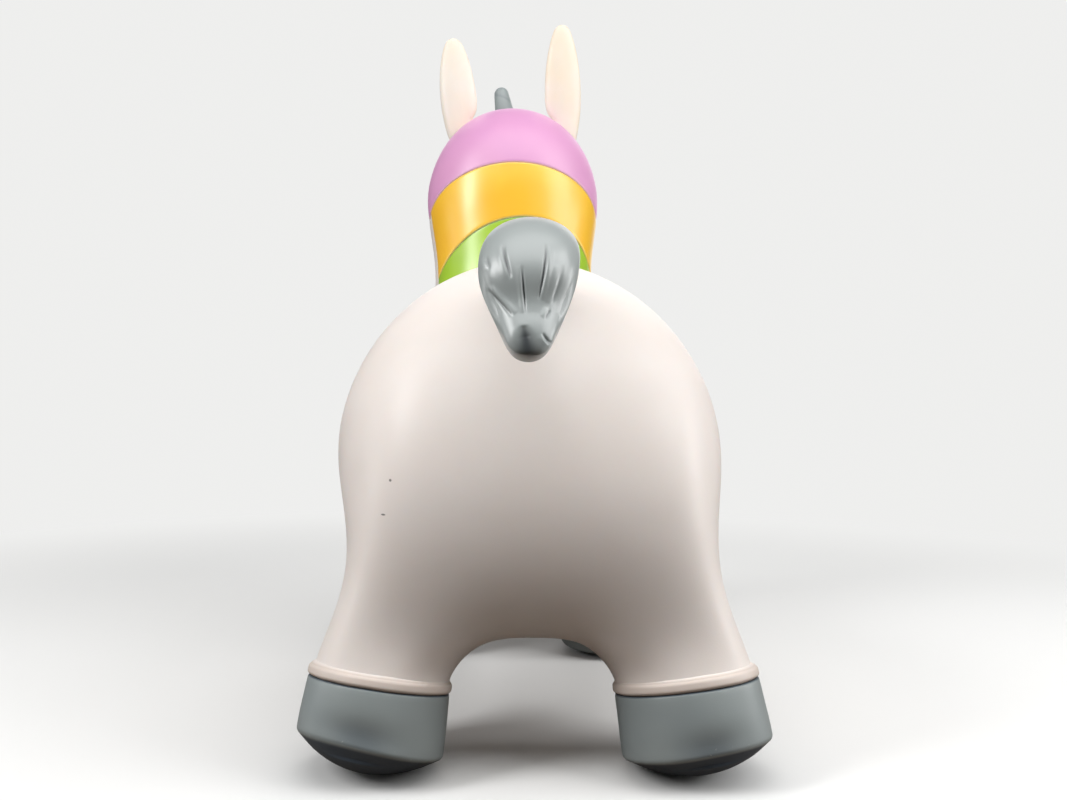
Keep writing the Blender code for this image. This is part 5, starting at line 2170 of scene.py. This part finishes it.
@dataclass
class Studio:
    """A pale floor, soft lamps and the camera.

    Attributes:
        stand: Where the camera stands, level and straight behind, a little to the left.
        shift: How far the picture is cropped off the lens's axis, so that the toy is in its middle.
        roll: How far the camera leans to the left.
        lens: Its focal length in millimetres.
        sensor: The width of its sensor in millimetres.
        pale: The colour of floor and backdrop.
        matt: How bright the floor is to the toy above it.
        fill: How much light the backdrop gives.
        floor_radius: The floor's radius.
        fade: Between which distances the floor takes the backdrop's colour.
    """

    stand: Vector = field(default_factory=lambda: Vector((-40 * MM, -756.5 * MM, 229 * MM)))
    shift: float = 0.0601
    roll: float = radians(0.22)
    lens: float = 30.7
    sensor: float = 36
    pale: Colour = (0.86, 0.86, 0.85)
    matt: Colour = (0.15, 0.122, 0.1)
    fill: float = 0.09
    floor_radius: float = 14
    fade: tuple[float, float] = (0.35, 1.15)

    def camera(self) -> None:
        """Places the camera as the photograph was taken, level and a little from the left."""
        data = bpy.data.cameras.new("camera")
        data.lens = self.lens
        data.sensor_width = self.sensor
        data.clip_start = 10 * MM
        camera = add_object("camera", data)
        camera.location = self.stand
        camera.rotation_euler = (pi / 2, -self.roll, 0)
        data.shift_x = self.shift
        bpy.context.scene.camera = camera

    def floor(self) -> None:
        """A wide pale floor that fades into the backdrop's colour far away."""
        bm = bmesh.new()
        bmesh.ops.create_circle(bm, cap_ends=True, segments=96, radius=self.floor_radius)
        mesh = bpy.data.meshes.new("studio_floor")
        bm.to_mesh(mesh)
        bm.free()
        floor = add_object("studio_floor", mesh)
        recipe = Recipe("pale_floor")
        seen = self.seen(recipe.tree)
        recipe.feed("Base Color", recipe.mix(seen, self.matt, self.pale))
        recipe.feed("Roughness", 0.9)
        bright = recipe.ramp(seen, 0, 1, self.fill, 1.0)
        glow = recipe.add("ShaderNodeEmission", {"Color": (*self.pale, 1), "Strength": bright})
        share = recipe.ramp(recipe.vector("LENGTH", recipe.place), *self.fade, 0, 1)
        layers = {0: share, 1: recipe.shader.outputs[0], 2: glow.outputs[0]}
        mixed = recipe.add("ShaderNodeMixShader", layers)
        output = recipe.tree.nodes["Material Output"]
        recipe.tree.links.new(mixed.outputs[0], output.inputs[0])
        mesh.materials.append(recipe.material)
        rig.stage(floor)

    def seen(self, tree: bpy.types.NodeTree) -> bpy.types.NodeSocket:
        """Tells what the camera sees, straight or through clear things, from what lights the toy.

        Args:
            tree: The nodes that it is added to.

        Returns:
            1 where the camera sees it.
        """
        paths = tree.nodes.new("ShaderNodeLightPath")
        seen = tree.nodes.new("ShaderNodeMath")
        seen.operation = "MAXIMUM"
        tree.links.new(paths.outputs["Is Camera Ray"], seen.inputs[0])
        tree.links.new(paths.outputs["Is Transmission Ray"], seen.inputs[1])
        return seen.outputs[0]

    def world(self) -> None:
        """An even pale world, brighter to the camera than to the object."""
        world = bpy.data.worlds.new("studio")
        world.use_nodes = True
        bpy.context.scene.world = world
        tree = world.node_tree
        background = tree.nodes["Background"]
        background.inputs["Color"].default_value = (*self.pale, 1)
        strength = tree.nodes.new("ShaderNodeMapRange")
        strength.inputs["To Min"].default_value = self.fill
        strength.inputs["To Max"].default_value = 1.0
        tree.links.new(self.seen(tree), strength.inputs["Value"])
        tree.links.new(strength.outputs[0], background.inputs["Strength"])

    def build(self) -> None:
        """Sets the whole studio up."""
        bpy.context.scene.view_settings.view_transform = "Standard"
        self.camera()
        self.floor()
        self.world()
        for lamp in LAMPS:
            lamp.build()


def write_sizes() -> None:
    """Writes the CAD model's box and the dressed model's box, to compare them."""
    low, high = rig.bounds()
    boxes = {"cad": [list(cad_low), list(cad_high)], "visual": [list(low), list(high)]}
    with open("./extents.json", "w") as sizes:
        json.dump(boxes, sizes)


def main() -> None:
    """Builds the toy from the skin outwards, and the studio round it."""
    logging.basicConfig(level=logging.INFO, format="%(name)s: %(message)s")
    skin = MouldedSkin(stances())
    body = Body(skin)
    body.build()
    rear = {
        Side.LEFT: (Dent(radians(-4), 33 * MM, radians(31), 13 * MM, 3.8 * MM), 6 * MM),
        Side.RIGHT: (Dent(radians(-1), 36 * MM, radians(28), 12 * MM, 3.5 * MM), 3 * MM),
    }
    for stance in skin.stances:
        if stance.name.startswith("rear"):
            dent, lift = rear[stance.side]
            Foot(stance, [dent], lift, radians(40) * stance.side.value).build()
        else:
            Foot(stance).build()
    Mane(body).build()
    Ear(skin, Side.LEFT, 96 * MM, radians(6), radians(50)).build()
    Ear(skin, Side.RIGHT, 112 * MM, radians(-1), radians(52.5)).build()
    Horn(skin).build()
    Tail(skin, grooves=tail_grooves()).build()
    Face(skin).build()
    Valve(skin).build()
    Studio().build()
    write_sizes()


if __name__ == "__main__":
    main()
